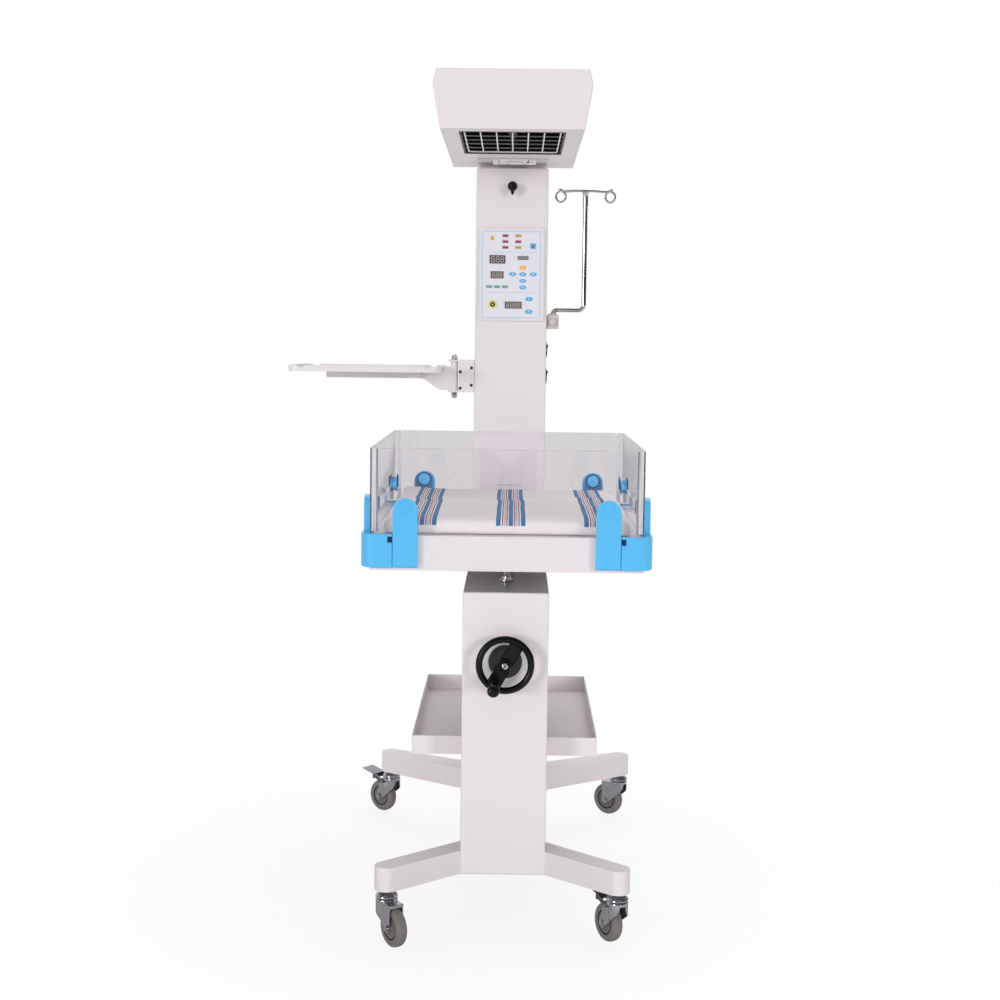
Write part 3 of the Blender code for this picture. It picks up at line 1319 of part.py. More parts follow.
def bed_panels(bed):
    """The four clear panels with their arms; all but the rear one fold outwards."""
    front = pivot("front_panel_axis", (0, -ARM_AXIS_OUT, ARM_AXIS_Z), bed)
    left = pivot("left_panel_axis", (-BED_X - ARM_AXIS_OUT, BED_LENGTH / 2, ARM_AXIS_Z), bed)
    right = pivot("right_panel_axis", (BED_X + ARM_AXIS_OUT, BED_LENGTH / 2, ARM_AXIS_Z), bed)
    end_start = BED_X - ARM_START
    side_start = BED_LENGTH / 2 - ARM_START
    end_panel("front_panel", False, front)
    clamp_arm("front_arm_left", end_start, -1, 0, (0, 0, 0), front)
    clamp_arm("front_arm_right", end_start, 1, 0, (0, 0, 0), front)
    end_panel("rear_panel", True, bed)
    clamp_arm("rear_arm_left", end_start, 1, math.pi, (0, BED_LENGTH, 0), bed)
    clamp_arm("rear_arm_right", end_start, -1, math.pi, (0, BED_LENGTH, 0), bed)
    middle = BED_LENGTH / 2
    side_panel("left_panel", -1, left)
    clamp_arm("left_arm_front", side_start, 1, -math.pi / 2, (-BED_X, middle, 0), left)
    clamp_arm("left_arm_rear", side_start, -1, -math.pi / 2, (-BED_X, middle, 0), left)
    side_panel("right_panel", 1, right)
    clamp_arm("right_arm_front", side_start, -1, math.pi / 2, (BED_X, middle, 0), right)
    clamp_arm("right_arm_rear", side_start, 1, math.pi / 2, (BED_X, middle, 0), right)


def rear_column(root):
    """Tall sheet-metal column, open at the back, with the sleeve for the head's swivel post."""
    inner = COLUMN_X - COLUMN_WALL
    column = block(
        "rear_column", (-COLUMN_X, REAR_FRONT, REAR_BOTTOM), (COLUMN_X, REAR_BACK, REAR_TOP), COLUMN_EDGE, (0, 1, 2)
    )
    hollow = block(
        "rear_hollow",
        (-inner, REAR_FRONT + COLUMN_WALL, REAR_BOTTOM + COLUMN_WALL),
        (inner, REAR_BACK + OVERRUN, REAR_TOP - COLUMN_WALL),
    )
    sleeve = rod(
        "sleeve",
        SWIVEL_POST_RADIUS + SLEEVE_WALL,
        (0, SWIVEL_Y, REAR_TOP - SLEEVE_LENGTH),
        (0, SWIVEL_Y, REAR_TOP - COLUMN_WALL / 2),
        STEPS,
    )
    post_way = rod(
        "post_way",
        SWIVEL_POST_RADIUS + RUNNING_GAP,
        (0, SWIVEL_Y, REAR_TOP - SLEEVE_LENGTH - OVERRUN),
        (0, SWIVEL_Y, REAR_TOP + OVERRUN),
        STEPS,
    )
    knob_hole = rod(
        "knob_hole", KNOB_STEM_RADIUS + RUNNING_GAP, (0, REAR_FRONT - OVERRUN, KNOB_Z), (0, REAR_FRONT + OVERRUN, KNOB_Z)
    )
    board_x, board_low, board_high = board_extent()
    board_way = block(
        "board_way",
        (-board_x - SINK, REAR_FRONT - OVERRUN, board_low - SINK),
        (board_x + SINK, REAR_FRONT + COLUMN_WALL + GAP, board_high + SINK),
    )
    switch_ways = [
        block(
            "switch_way",
            (COLUMN_X - COLUMN_WALL - OVERRUN / 2, SWITCH_Y - SWITCH_WIDTH / 2 - GAP, z - SWITCH_HOLE_HEIGHT / 2),
            (COLUMN_X + OVERRUN, SWITCH_Y + SWITCH_WIDTH / 2 + GAP, z + SWITCH_HOLE_HEIGHT / 2),
        )
        for z in (SWITCH_UPPER_Z, SWITCH_LOWER_Z)
    ]
    cut(column, hollow)
    join(column, sleeve)
    cut(column, post_way, knob_hole, board_way, *switch_ways)
    put(column, "white_paint", root)


def rear_cover(root):
    """Plate that closes the column's back, with vent slots and the opening for the mains inlet."""
    inner = COLUMN_X - COLUMN_WALL - GAP
    low = REAR_BACK - REAR_COVER_INSET - REAR_COVER_WALL
    high = REAR_BACK - REAR_COVER_INSET
    cover = block(
        "rear_cover",
        (-inner, low, REAR_BOTTOM + COLUMN_WALL + GAP),
        (inner, high, REAR_TOP - COLUMN_WALL - GAP),
    )
    vents = [
        block(
            "vent",
            (-VENT_WIDTH / 2, low - OVERRUN, VENT_BOTTOM_Z + VENT_PITCH * index),
            (VENT_WIDTH / 2, high + OVERRUN, VENT_BOTTOM_Z + VENT_PITCH * index + VENT_HEIGHT),
        )
        for index in range(VENT_COUNT)
    ]
    inlet_way = block(
        "inlet_way",
        (-INLET_WIDTH / 2 - GAP, low - OVERRUN, INLET_Z - INLET_HEIGHT / 2 - GAP),
        (INLET_WIDTH / 2 + GAP, high + OVERRUN, INLET_Z + INLET_HEIGHT / 2 + GAP),
    )
    cut(cover, *vents, inlet_way)
    put(cover, "white_paint", root)
    x, half = INLET_WIDTH / 2, INLET_HEIGHT / 2
    inlet = block("power_inlet", (-x, high + SINK - INLET_DEPTH, INLET_Z - half), (x, high + SINK, INLET_Z + half))
    flange = block(
        "inlet_flange",
        (-x - INLET_FLANGE, high + GAP, INLET_Z - half - INLET_FLANGE),
        (x + INLET_FLANGE, high + GAP + REAR_COVER_WALL, INLET_Z + half + INLET_FLANGE),
        INLET_FLANGE / 2,
        (1,),
    )
    pocket = block(
        "inlet_pocket",
        (-x + INLET_POCKET, high - INLET_DEPTH * 0.7, INLET_Z - half + INLET_POCKET),
        (x - INLET_POCKET, high + OVERRUN, INLET_Z + half - INLET_POCKET),
    )
    join(inlet, flange)
    cut(inlet, pocket)
    put(inlet, "black_plastic", root)


def board_extent():
    """Half the board's width, and its lowest and highest edge."""
    return (
        PANEL_WIDTH / 2 - BOARD_MARGIN,
        PANEL_BOTTOM_Z + BOARD_MARGIN,
        PANEL_BOTTOM_Z + PANEL_HEIGHT - BOARD_MARGIN,
    )


def control_panel(root):
    """Panel on the column's front, recessed for its overlay, and the board behind it."""
    x, top = PANEL_WIDTH / 2, PANEL_BOTTOM_Z + PANEL_HEIGHT
    back = REAR_FRONT - GAP
    front = back - PANEL_DEPTH
    panel = slab(
        "control_panel", rounded_rectangle((-x, PANEL_BOTTOM_Z), (x, top), PANEL_ROUND), front, back, "Y"
    )
    recess = slab(
        "recess",
        rounded_rectangle(
            (-x + PANEL_RIM, PANEL_BOTTOM_Z + PANEL_RIM), (x - PANEL_RIM, top - PANEL_RIM), PANEL_ROUND
        ),
        front - OVERRUN,
        front + PANEL_RECESS,
        "Y",
    )
    cut(panel, recess)
    put(panel, "white_plastic", root)
    board_x, low, high = board_extent()
    face = REAR_FRONT + BOARD_SETBACK
    board = block("control_board", (-board_x, face, low), (board_x, face + BOARD_THICKNESS, high))
    inset = 2 * BOARD_POST_RADIUS
    posts = [
        rod("board_post", BOARD_POST_RADIUS, (px, back + GAP, pz), (px, face + BOARD_THICKNESS / 2, pz), 12)
        for px in (-board_x + inset, board_x - inset)
        for pz in (low + inset, high - inset)
    ]
    join(board, *posts)
    put(board, "board", root)


def lock_knob(root):
    """Ball knob whose stem presses on the swivel post."""
    empty = pivot("lock_knob_axis", (0, REAR_FRONT, KNOB_Z), root)
    seat = GAP
    neck = seat + KNOB_COLLAR_DEPTH
    ball = neck + KNOB_RADIUS * 1.6
    stem = -(REAR_DEPTH / 2 - SWIVEL_POST_RADIUS - RUNNING_GAP)
    low = math.degrees(math.asin(KNOB_NECK_RADIUS / KNOB_RADIUS)) - 90
    profile = arc((0, ball), KNOB_RADIUS, 90, low, 9)
    profile += [
        (KNOB_NECK_RADIUS, neck),
        (KNOB_COLLAR_RADIUS, neck),
        (KNOB_COLLAR_RADIUS, seat),
        (KNOB_STEM_RADIUS, seat),
        (KNOB_STEM_RADIUS, stem),
        (0, stem),
    ]
    put(turned("lock_knob", profile, (0, REAR_FRONT, KNOB_Z), (0, -1, 0), 20), "black_plastic", empty)


def rocker(name, z, root):
    """A rocker switch in the column's right side: two faces that meet in a dip on its axis."""
    axis_x = COLUMN_X - SWITCH_DIP
    empty = pivot(name + "_axis", (axis_x, SWITCH_Y, z), root)
    half = SWITCH_HEIGHT / 2
    outline = [
        (COLUMN_X - SWITCH_SEAT, z - half * 0.7),
        (COLUMN_X + SWITCH_PROUD - SWITCH_DIP, z - half),
        (COLUMN_X + SWITCH_PROUD - SWITCH_DIP, z),
        (COLUMN_X + SWITCH_PROUD, z + half),
        (COLUMN_X - SWITCH_SEAT, z + half * 0.7),
    ]
    piece = slab(name, outline, SWITCH_Y - SWITCH_WIDTH / 2, SWITCH_Y + SWITCH_WIDTH / 2, "Y")
    put(piece, "black_plastic", empty)


def tray_bracket(root):
    """Block on the column's left side with two lugs for the hinge pin, and the pin with its nuts."""
    right = -COLUMN_X - GAP
    left = right - BRACKET_WIDTH
    y0 = REAR_FRONT + BRACKET_Y_INSET
    y1 = y0 + BRACKET_DEPTH
    bottom, top = BRACKET_BOTTOM_Z, BRACKET_BOTTOM_Z + BRACKET_HEIGHT
    bracket = block("tray_bracket", (left, y0, bottom), (right, y1, top))
    lugs = []
    for low in (bottom, top - BRACKET_LUG):
        outline = [(x, y) for x, y in arc((HINGE_PIN_X, HINGE_PIN_Y), BRACKET_DEPTH / 2, 90, 270, 10)]
        outline += [(left + SINK, y0), (left + SINK, y1)]
        lugs.append(slab("lug", outline, low, low + BRACKET_LUG))
    hole = rod(
        "lug_hole",
        HINGE_PIN_RADIUS + RUNNING_GAP,
        (HINGE_PIN_X, HINGE_PIN_Y, bottom - OVERRUN),
        (HINGE_PIN_X, HINGE_PIN_Y, top + OVERRUN),
    )
    hub_way = rod(
        "hub_way",
        HINGE_HUB_RADIUS + SWING_GAP,
        (HINGE_PIN_X, HINGE_PIN_Y, bottom + BRACKET_LUG),
        (HINGE_PIN_X, HINGE_PIN_Y, top - BRACKET_LUG),
        24,
    )
    join(bracket, *lugs)
    cut(bracket, hub_way, hole)
    put(bracket, "white_paint", root)
    nut, reach = HINGE_NUT_RADIUS, BRACKET_HEIGHT / 2 + GAP
    end = reach + HINGE_NUT_DEPTH
    middle = (bottom + top) / 2
    profile = [
        (0, end),
        (nut * 0.7, end),
        (nut, end - HINGE_NUT_DEPTH / 4),
        (nut, reach),
        (HINGE_PIN_RADIUS, reach),
        (HINGE_PIN_RADIUS, -reach),
        (nut, -reach),
        (nut, -end + HINGE_NUT_DEPTH / 4),
        (nut * 0.7, -end),
        (0, -end),
    ]
    put(turned("hinge_pin", profile, (HINGE_PIN_X, HINGE_PIN_Y, middle), steps=SMALL_STEPS), "chrome", root)


def instrument_tray(root):
    """Tray on the arm that swings about the hinge pin."""
    bottom, top = BRACKET_BOTTOM_Z + BRACKET_LUG + GAP, BRACKET_BOTTOM_Z + BRACKET_HEIGHT - BRACKET_LUG - GAP
    empty = pivot("tray_swing_axis", (HINGE_PIN_X, HINGE_PIN_Y, (bottom + top) / 2), root)
    arm_top = TRAY_BOTTOM_Z - GAP
    arm_bottom = arm_top - TRAY_ARM_DEPTH
    start, end = TRAY_ARM_CURVE_START_X, TRAY_ARM_CURVE_END_X
    sweep = [
        (start + (end - start) * s / 8, arm_bottom - (arm_bottom - bottom) * (1 - math.cos(math.pi * s / 8)) / 2)
        for s in range(9)
    ]
    shoulder = TRAY_END_X + SWING_GAP
    outline = [(TRAY_ARM_END_X, arm_top), (TRAY_ARM_END_X, arm_bottom)] + sweep
    outline += [(HINGE_PIN_X, bottom), (HINGE_PIN_X, arm_top + TRAY_HEIGHT), (shoulder, arm_top + TRAY_HEIGHT)]
    outline += [(shoulder, arm_top)]
    half = TRAY_ARM_WIDTH / 2
    narrow = HINGE_HUB_RADIUS
    arm = slab("tray_arm", outline, HINGE_PIN_Y - narrow, HINGE_PIN_Y + narrow, "Y")
    rails = [
        block(
            "rail",
            (TRAY_ARM_END_X, low, arm_bottom),
            (TRAY_ARM_CURVE_START_X, high, arm_top),
        )
        for low, high in (
            (HINGE_PIN_Y - half, HINGE_PIN_Y - narrow + SINK),
            (HINGE_PIN_Y + narrow - SINK, HINGE_PIN_Y + half),
        )
    ]
    hub = rod(
        "arm_hub", HINGE_HUB_RADIUS, (HINGE_PIN_X, HINGE_PIN_Y, bottom), (HINGE_PIN_X, HINGE_PIN_Y, top), 24
    )
    trim = block(
        "arm_trim",
        (HINGE_PIN_X, HINGE_PIN_Y - 2 * narrow, bottom - OVERRUN),
        (HINGE_PIN_X + 2 * narrow, HINGE_PIN_Y + 2 * narrow, top + OVERRUN),
    )
    bore = rod(
        "arm_bore",
        HINGE_PIN_RADIUS + RUNNING_GAP,
        (HINGE_PIN_X, HINGE_PIN_Y, bottom - OVERRUN),
        (HINGE_PIN_X, HINGE_PIN_Y, top + OVERRUN),
    )
    cut(arm, trim)
    join(arm, *rails, hub)
    cut(arm, bore)
    put(arm, "white_paint", empty)
    left, right = TRAY_END_X - TRAY_LENGTH, TRAY_END_X
    near, far = HINGE_PIN_Y - TRAY_DEPTH / 2, HINGE_PIN_Y + TRAY_DEPTH / 2
    tray = slab(
        "instrument_tray",
        rounded_rectangle((left, near), (right, far), TRAY_CORNER),
        TRAY_BOTTOM_Z,
        TRAY_BOTTOM_Z + TRAY_HEIGHT,
    )
    wall = TRAY_WALL
    inside = slab(
        "tray_inside",
        rounded_rectangle((left + wall, near + wall), (right - wall, far - wall), TRAY_CORNER - wall),
        TRAY_BOTTOM_Z + wall,
        TRAY_BOTTOM_Z + TRAY_HEIGHT + OVERRUN,
    )
    rim = TRAY_BOTTOM_Z + TRAY_HEIGHT
    notches = [
        block(
            "rim_notch",
            (x - TRAY_NOTCH, near - OVERRUN, rim - TRAY_NOTCH_DEPTH),
            (x + TRAY_NOTCH, far + OVERRUN, rim + OVERRUN),
        )
        for x in (left + TRAY_NOTCH_INSET, right - TRAY_NOTCH_INSET)
    ]
    cut(tray, inside, *notches)
    put(tray, "white_plastic", empty)


def drip_pole(root):
    """Clamp block on the column's right side and the cranked pole that turns in it."""
    x0, x1 = COLUMN_X + GAP, COLUMN_X + GAP + CLAMP_WIDTH
    y0, y1 = CLAMP_Y - CLAMP_DEPTH / 2, CLAMP_Y + CLAMP_DEPTH / 2
    z0, z1 = CLAMP_BOTTOM_Z, CLAMP_BOTTOM_Z + CLAMP_HEIGHT
    clamp = block("iv_clamp", (x0, y0, z0), (x1, y1, z1), CLAMP_EDGE)
    foot_z = z1 - POLE_SEAT
    socket = rod(
        "pole_socket", POLE_RADIUS + RUNNING_GAP, (POLE_FOOT_X, CLAMP_Y, foot_z - GAP), (POLE_FOOT_X, CLAMP_Y, z1 + OVERRUN)
    )
    cut(clamp, socket)
    put(clamp, "beige_plastic", root)
    empty = pivot("iv_pole_axis", (POLE_FOOT_X, CLAMP_Y, z1), root)
    path = [(POLE_FOOT_X, foot_z)]
    path += arc((POLE_FOOT_X + POLE_BEND, POLE_CRANK_Z - POLE_BEND), POLE_BEND, 180, 90, 5)
    path += arc((POLE_X - POLE_BEND, POLE_CRANK_Z + POLE_BEND), POLE_BEND, -90, 0, 5)
    path += [(POLE_X, POLE_TOP_Z)]
    pole = tube("iv_pole", [(x, CLAMP_Y, z) for x, z in path], POLE_RADIUS, sides=3)
    half = CROSS_BAR_LENGTH / 2
    bar = [
        (POLE_X + half * s / 4, CLAMP_Y, POLE_TOP_Z - CROSS_BAR_SAG * (s / 4) ** 2)
        for s in range(-4, 5)
    ]
    cross = tube("cross_bar", bar, CROSS_BAR_RADIUS)
    rings = []
    for end in (-1, 1):
        centre = (POLE_X + end * half, POLE_TOP_Z - CROSS_BAR_SAG - RING_DROP)
        circle = arc(centre, RING_RADIUS, 0, 360 - 360 / 16, 15)
        rings.append(tube("ring", [(x, CLAMP_Y, z) for x, z in circle], RING_WIRE, closed=True))
    join(pole, cross, *rings)
    put(pole, "chrome", empty)


def hood_half_width(z):
    """Half the hood's outer width at a height above its bottom edge."""
    middle = HEAD_HEIGHT - HEAD_LID_HEIGHT
    share = z / middle
    return (HEAD_BOTTOM_WIDTH + (HEAD_MIDDLE_WIDTH - HEAD_BOTTOM_WIDTH) * share) / 2


def head_hood(head):
    """Folded sheet hood, open below, its sides leaning in to the bottom and to the lid."""
    top, middle = HEAD_BOTTOM + HEAD_HEIGHT, HEAD_BOTTOM + HEAD_HEIGHT - HEAD_LID_HEIGHT
    widths = ((HEAD_BOTTOM_WIDTH / 2, HEAD_BOTTOM), (HEAD_MIDDLE_WIDTH / 2, middle), (HEAD_TOP_WIDTH / 2, top))
    outline = [(-x, z) for x, z in widths] + [(x, z) for x, z in reversed(widths)]
    hood = slab("head_hood", outline, HEAD_FRONT, HEAD_BACK, "Y")
    shape = bmesh.new()
    shape.from_mesh(hood.data)
    under = [f for f in shape.faces if all(abs(v.co.z - HEAD_BOTTOM) < SINK / 2 for v in f.verts)]
    bmesh.ops.delete(shape, geom=under, context="FACES")
    folds = [e for e in shape.edges if not e.is_boundary and e.calc_face_angle(0) > math.radians(8)]
    bmesh.ops.bevel(shape, geom=folds, offset=HOOD_EDGE, segments=2, profile=0.5, affect="EDGES")
    shape.to_mesh(hood.data)
    shape.free()
    wall = hood.modifiers.new("wall", "SOLIDIFY")
    wall.thickness = HOOD_WALL
    wall.offset = -1
    wall.use_even_offset = True
    put(hood, "white_paint", head)


def head_base(head):
    """Plate that closes the hood's underside, with the heater's window."""
    x = hood_half_width(0) - 2 * HOOD_WALL
    inset = HOOD_WALL + GAP
    low, high = HEAD_BOTTOM, HEAD_BOTTOM + HEAD_BASE_WALL
    base = block("head_base", (-x, HEAD_FRONT + inset, low), (x, HEAD_BACK - inset, high))
    half, reach = WINDOW_WIDTH / 2, WINDOW_LENGTH / 2
    window = block("window", (-half, WINDOW_Y - reach, low - OVERRUN), (half, WINDOW_Y + reach, high + OVERRUN))
    cut(base, window)
    put(base, "white_paint", head)


def heater_grille(head):
    """Lengthwise bars and cross wires over the window, resting on the base plate's edges."""
    wire = GRILLE_WIRE
    seat = HEAD_BOTTOM + HEAD_BASE_WALL + GAP
    half, reach = WINDOW_WIDTH / 2, WINDOW_LENGTH / 2
    bar_x = half - GRILLE_MARGIN
    bar_y = reach - GRILLE_MARGIN
    wire_x = half + GRILLE_SEAT
    ys = [WINDOW_Y - bar_y + wire / 2 + (2 * bar_y - wire) * i / (GRILLE_CROSS_WIRES - 1) for i in range(GRILLE_CROSS_WIRES)]
    xs = [-bar_x + wire / 2 + (2 * bar_x - wire) * i / (GRILLE_BARS - 1) for i in range(GRILLE_BARS)]
    cross = [block("cross_wire", (-wire_x, y - wire / 2, seat), (wire_x, y + wire / 2, seat + wire)) for y in ys]
    bars = [
        block(
            "bar",
            (x - wire / 2, WINDOW_Y - bar_y - SINK / 2, seat - wire / 2),
            (x + wire / 2, WINDOW_Y + bar_y + SINK / 2, seat + wire / 2),
        )
        for x in xs
    ]
    grille = cross[0]
    grille.name = "heater_grille"
    join(grille, *bars, *cross[1:])
    put(grille, "chrome", head, smooth=False)


def reflector(head):
    """Bent trough over the window, with end plates that hold the heater tube."""
    seat = HEAD_BOTTOM + HEAD_BASE_WALL + GAP
    half = WINDOW_WIDTH / 2 + REFLECTOR_MARGIN
    reach = WINDOW_LENGTH / 2
    outer = half + REFLECTOR_WALL
    height = REFLECTOR_HEIGHT
    curve = [(s / REFLECTOR_STEPS) * math.pi for s in range(REFLECTOR_STEPS + 1)]
    skin = [(-outer * math.cos(a), seat + height * math.sin(a)) for a in curve]
    lining = [(half * math.cos(a), seat + (height - REFLECTOR_WALL) * math.sin(a)) for a in curve]
    trough = slab("reflector", skin + lining, WINDOW_Y - reach, WINDOW_Y + reach, "Y")
    heater_z = seat + HEATER_Z_RISE
    plates = [
        slab("end_plate", skin, low, low + REFLECTOR_WALL, "Y")
        for low in (WINDOW_Y - reach - REFLECTOR_WALL + SINK / 2, WINDOW_Y + reach - SINK / 2)
    ]
    long = reach + OVERRUN + REFLECTOR_WALL
    holes = rod(
        "heater_hole",
        HEATER_RADIUS + RUNNING_GAP,
        (0, WINDOW_Y - long, heater_z),
        (0, WINDOW_Y + long, heater_z),
        20,
    )
    join(trough, *plates)
    cut(trough, holes)
    put(trough, "reflector_metal", head)
    ends = reach + REFLECTOR_WALL + HEATER_OVERHANG
    tube_piece = rod("heater_tube", HEATER_RADIUS, (0, WINDOW_Y - ends, heater_z), (0, WINDOW_Y + ends, heater_z), 20)
    put(tube_piece, "heater_ceramic", head)


def swivel_post(head):
    """Plate under the head with the post that turns in the column's sleeve."""
    plate_top = HEAD_BOTTOM - GAP
    plate_low = plate_top - SWIVEL_PLATE_DEPTH
    x, y = SWIVEL_PLATE_WIDTH / 2, SWIVEL_PLATE_LENGTH / 2
    back = HEAD_BACK - HOOD_WALL - GAP
    plate = block("swivel_post", (-x, back - 2 * y, plate_low), (x, back, plate_top))
    seat = REAR_TOP + GAP
    profile = [
        (0, plate_low + SINK),
        (SWIVEL_FLANGE_RADIUS, plate_low + SINK),
        (SWIVEL_FLANGE_RADIUS, seat),
        (SWIVEL_POST_RADIUS, seat),
        (SWIVEL_POST_RADIUS, seat - SWIVEL_POST_LENGTH),
        (0, seat - SWIVEL_POST_LENGTH),
    ]
    join(plate, turned("post", profile, (0, SWIVEL_Y, 0)))
    put(plate, "white_paint", head)


def origin_under_middle(root):
    """Moves the whole object so that its origin lies under the middle of its box, on the floor."""
    bpy.context.view_layer.update()
    graph = bpy.context.evaluated_depsgraph_get()
    corners = []
    for piece in PARTS.objects:
        if piece.type == "MESH":
            seen = piece.evaluated_get(graph)
            corners += [seen.matrix_world @ vertex.co for vertex in seen.data.vertices]
    low = [min(c[axis] for c in corners) for axis in range(3)]
    high = [max(c[axis] for c in corners) for axis in range(3)]
    root.location = (-(low[0] + high[0]) / 2, -(low[1] + high[1]) / 2, -low[2])


def build():
    """The whole warmer."""
    root = pivot("warmer", (0, 0, 0), None)
    base_frame(root)
    caster(-1, False, math.radians(-56), False, root)
    caster(1, False, math.radians(120), True, root)
    caster(-1, True, math.radians(140), True, root)
    caster(1, True, math.radians(143), False, root)
    lift_column(root)
    lift_bush(root)
    handwheel_bush(root)
    lift_drive(root)
    storage_tray(root)
    pivot_bracket(root)
    bed = pivot("bed_tilt_axis", (0, PIVOT_Y, PIVOT_Z), root)
    bed_deck(bed)
    mattress(bed)
    for side in (-1, 1):
        for rear in (False, True):
            corner_block(side, rear, bed)
    bed_panels(bed)
    rear_column(root)
    rear_cover(root)
    control_panel(root)
    lock_knob(root)
    rocker("switch_upper", SWITCH_UPPER_Z, root)
    rocker("switch_lower", SWITCH_LOWER_Z, root)
    tray_bracket(root)
    instrument_tray(root)
    drip_pole(root)
    head = pivot("head_swivel_axis", (0, SWIVEL_Y, HEAD_BOTTOM), root)
    head_hood(head)
    head_base(head)
    heater_grille(head)
    reflector(head)
    swivel_post(head)
    origin_under_middle(root)


build()
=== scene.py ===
import json
import math

import bmesh
import bpy
from mathutils import Matrix, Vector, noise

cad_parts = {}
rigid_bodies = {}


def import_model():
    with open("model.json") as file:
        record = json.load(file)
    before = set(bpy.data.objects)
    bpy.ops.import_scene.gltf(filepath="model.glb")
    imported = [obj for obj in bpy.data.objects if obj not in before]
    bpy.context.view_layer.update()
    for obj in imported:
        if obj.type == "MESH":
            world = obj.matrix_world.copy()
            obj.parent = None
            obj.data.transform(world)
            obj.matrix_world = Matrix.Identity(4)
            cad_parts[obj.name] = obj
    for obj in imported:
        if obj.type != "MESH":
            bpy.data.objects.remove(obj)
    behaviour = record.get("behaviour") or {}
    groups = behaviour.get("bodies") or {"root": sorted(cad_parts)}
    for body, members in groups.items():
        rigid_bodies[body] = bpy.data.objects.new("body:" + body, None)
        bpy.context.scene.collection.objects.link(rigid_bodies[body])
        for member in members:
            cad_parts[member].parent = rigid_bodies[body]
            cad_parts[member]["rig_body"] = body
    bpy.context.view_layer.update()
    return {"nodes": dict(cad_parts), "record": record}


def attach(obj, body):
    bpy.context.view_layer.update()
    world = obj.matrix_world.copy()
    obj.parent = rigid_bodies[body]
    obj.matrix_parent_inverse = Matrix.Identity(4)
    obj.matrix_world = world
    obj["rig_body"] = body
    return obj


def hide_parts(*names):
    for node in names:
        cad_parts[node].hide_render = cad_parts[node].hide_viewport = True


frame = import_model()

# Sizes are in millimetres from the bed's front edge and middle, and become metres in the row frame here
MM = 0.001
MIDDLE = Vector((0.101809, -0.343392, 0))
SLOTS = {use["node"]: use["material_slot"] for use in frame["record"]["subparts"]}
BODY_OF = {name: node["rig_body"] for name, node in frame["nodes"].items()}
ENDS = ("front_left", "front_right", "rear_left", "rear_right")
NODE_PITCH = 190


def spot(x, y, z):
    """A place given in millimetres, as a vector of the row frame."""
    return Vector((x * MM, y * MM, z * MM)) + MIDDLE


# Node helpers


def feed(node, **inputs):
    """Fills a node's inputs: a plain value, a node for its first output, or (node, output)."""
    for label, value in inputs.items():
        label = label.strip("_").replace("_", " ")
        socket = node.inputs[int(label) if label.isdigit() else label]
        if isinstance(value, bpy.types.Node):
            value = (value, 0)
        if isinstance(value, tuple) and isinstance(value[0], bpy.types.Node):
            node.id_data.links.new(value[0].outputs[value[1]], socket)
        else:
            socket.default_value = value


def node_of(tree, kind, **values):
    """A node with its properties set, and its inputs where a name starts with in_."""
    made = tree.nodes.new(kind)
    made.location = (len(tree.nodes) * NODE_PITCH, 0)
    for name, value in values.items():
        if not name.startswith("in_"):
            setattr(made, name, value)
    feed(made, **{name[2:]: value for name, value in values.items() if name.startswith("in_")})
    return made


def coordinates(tree):
    """The node that gives a point's own coordinates."""
    return node_of(tree, "ShaderNodeTexCoord")


def noise_of(tree, vector, scale, detail, rough=0.5):
    """A cloudy pattern."""
    made = node_of(tree, "ShaderNodeTexNoise")
    feed(made, Vector=vector, Scale=scale, Detail=detail, Roughness=rough)
    return made


def maths(tree, operation, *parts, clamp=False):
    """One sum on up to three values or outputs."""
    made = node_of(tree, "ShaderNodeMath", operation=operation, use_clamp=clamp)
    feed(made, **{"_%d" % order: part for order, part in enumerate(parts)})
    return made


def ranged(tree, value, low, high, start=0.0, end=1.0, kind="LINEAR"):
    """Maps low and high to start and end, and holds them beyond."""
    made = node_of(tree, "ShaderNodeMapRange", interpolation_type=kind)
    feed(made, Value=value, From_Min=low, From_Max=high, To_Min=start, To_Max=end)
    return made


def eased_range(tree, value, low, high, start=0.0, end=1.0):
    """The same with a soft turn at both ends."""
    return ranged(tree, value, low, high, start, end, "SMOOTHSTEP")


def ramp_of(tree, value, *stops, kind="LINEAR"):
    """A colour for each stop, given as (position, red, green, blue)."""
    made = node_of(tree, "ShaderNodeValToRGB", in_Fac=value)
    bands = made.color_ramp
    bands.interpolation = kind
    for element, stop in zip(bands.elements, (stops[0], stops[-1])):
        element.position, element.color = stop[0], stop[1:] + (1,)
    for stop in stops[1:-1]:
        bands.elements.new(stop[0]).color = stop[1:] + (1,)
    return made


def scaled(tree, colour, amount):
    """A colour made brighter or darker."""
    return node_of(tree, "ShaderNodeVectorMath", operation="SCALE", in_0=colour, in_Scale=amount)


def blended(tree, share, first, second):
    """Two colours mixed."""
    return node_of(tree, "ShaderNodeMix", data_type="RGBA", in_Factor=share, in_6=first, in_7=second)


def group(name, inputs, outputs, kind="Shader"):
    """An empty node group with its sockets, and its two end nodes."""
    tree = bpy.data.node_groups.new(name, kind + "NodeTree")
    for label, sort, value in inputs:
        socket = tree.interface.new_socket(label, in_out="INPUT", socket_type="NodeSocket" + sort)
        if value is not None:
            socket.default_value = value
    for label, sort in outputs:
        tree.interface.new_socket(label, in_out="OUTPUT", socket_type="NodeSocket" + sort)
    return tree, node_of(tree, "NodeGroupInput"), node_of(tree, "NodeGroupOutput")


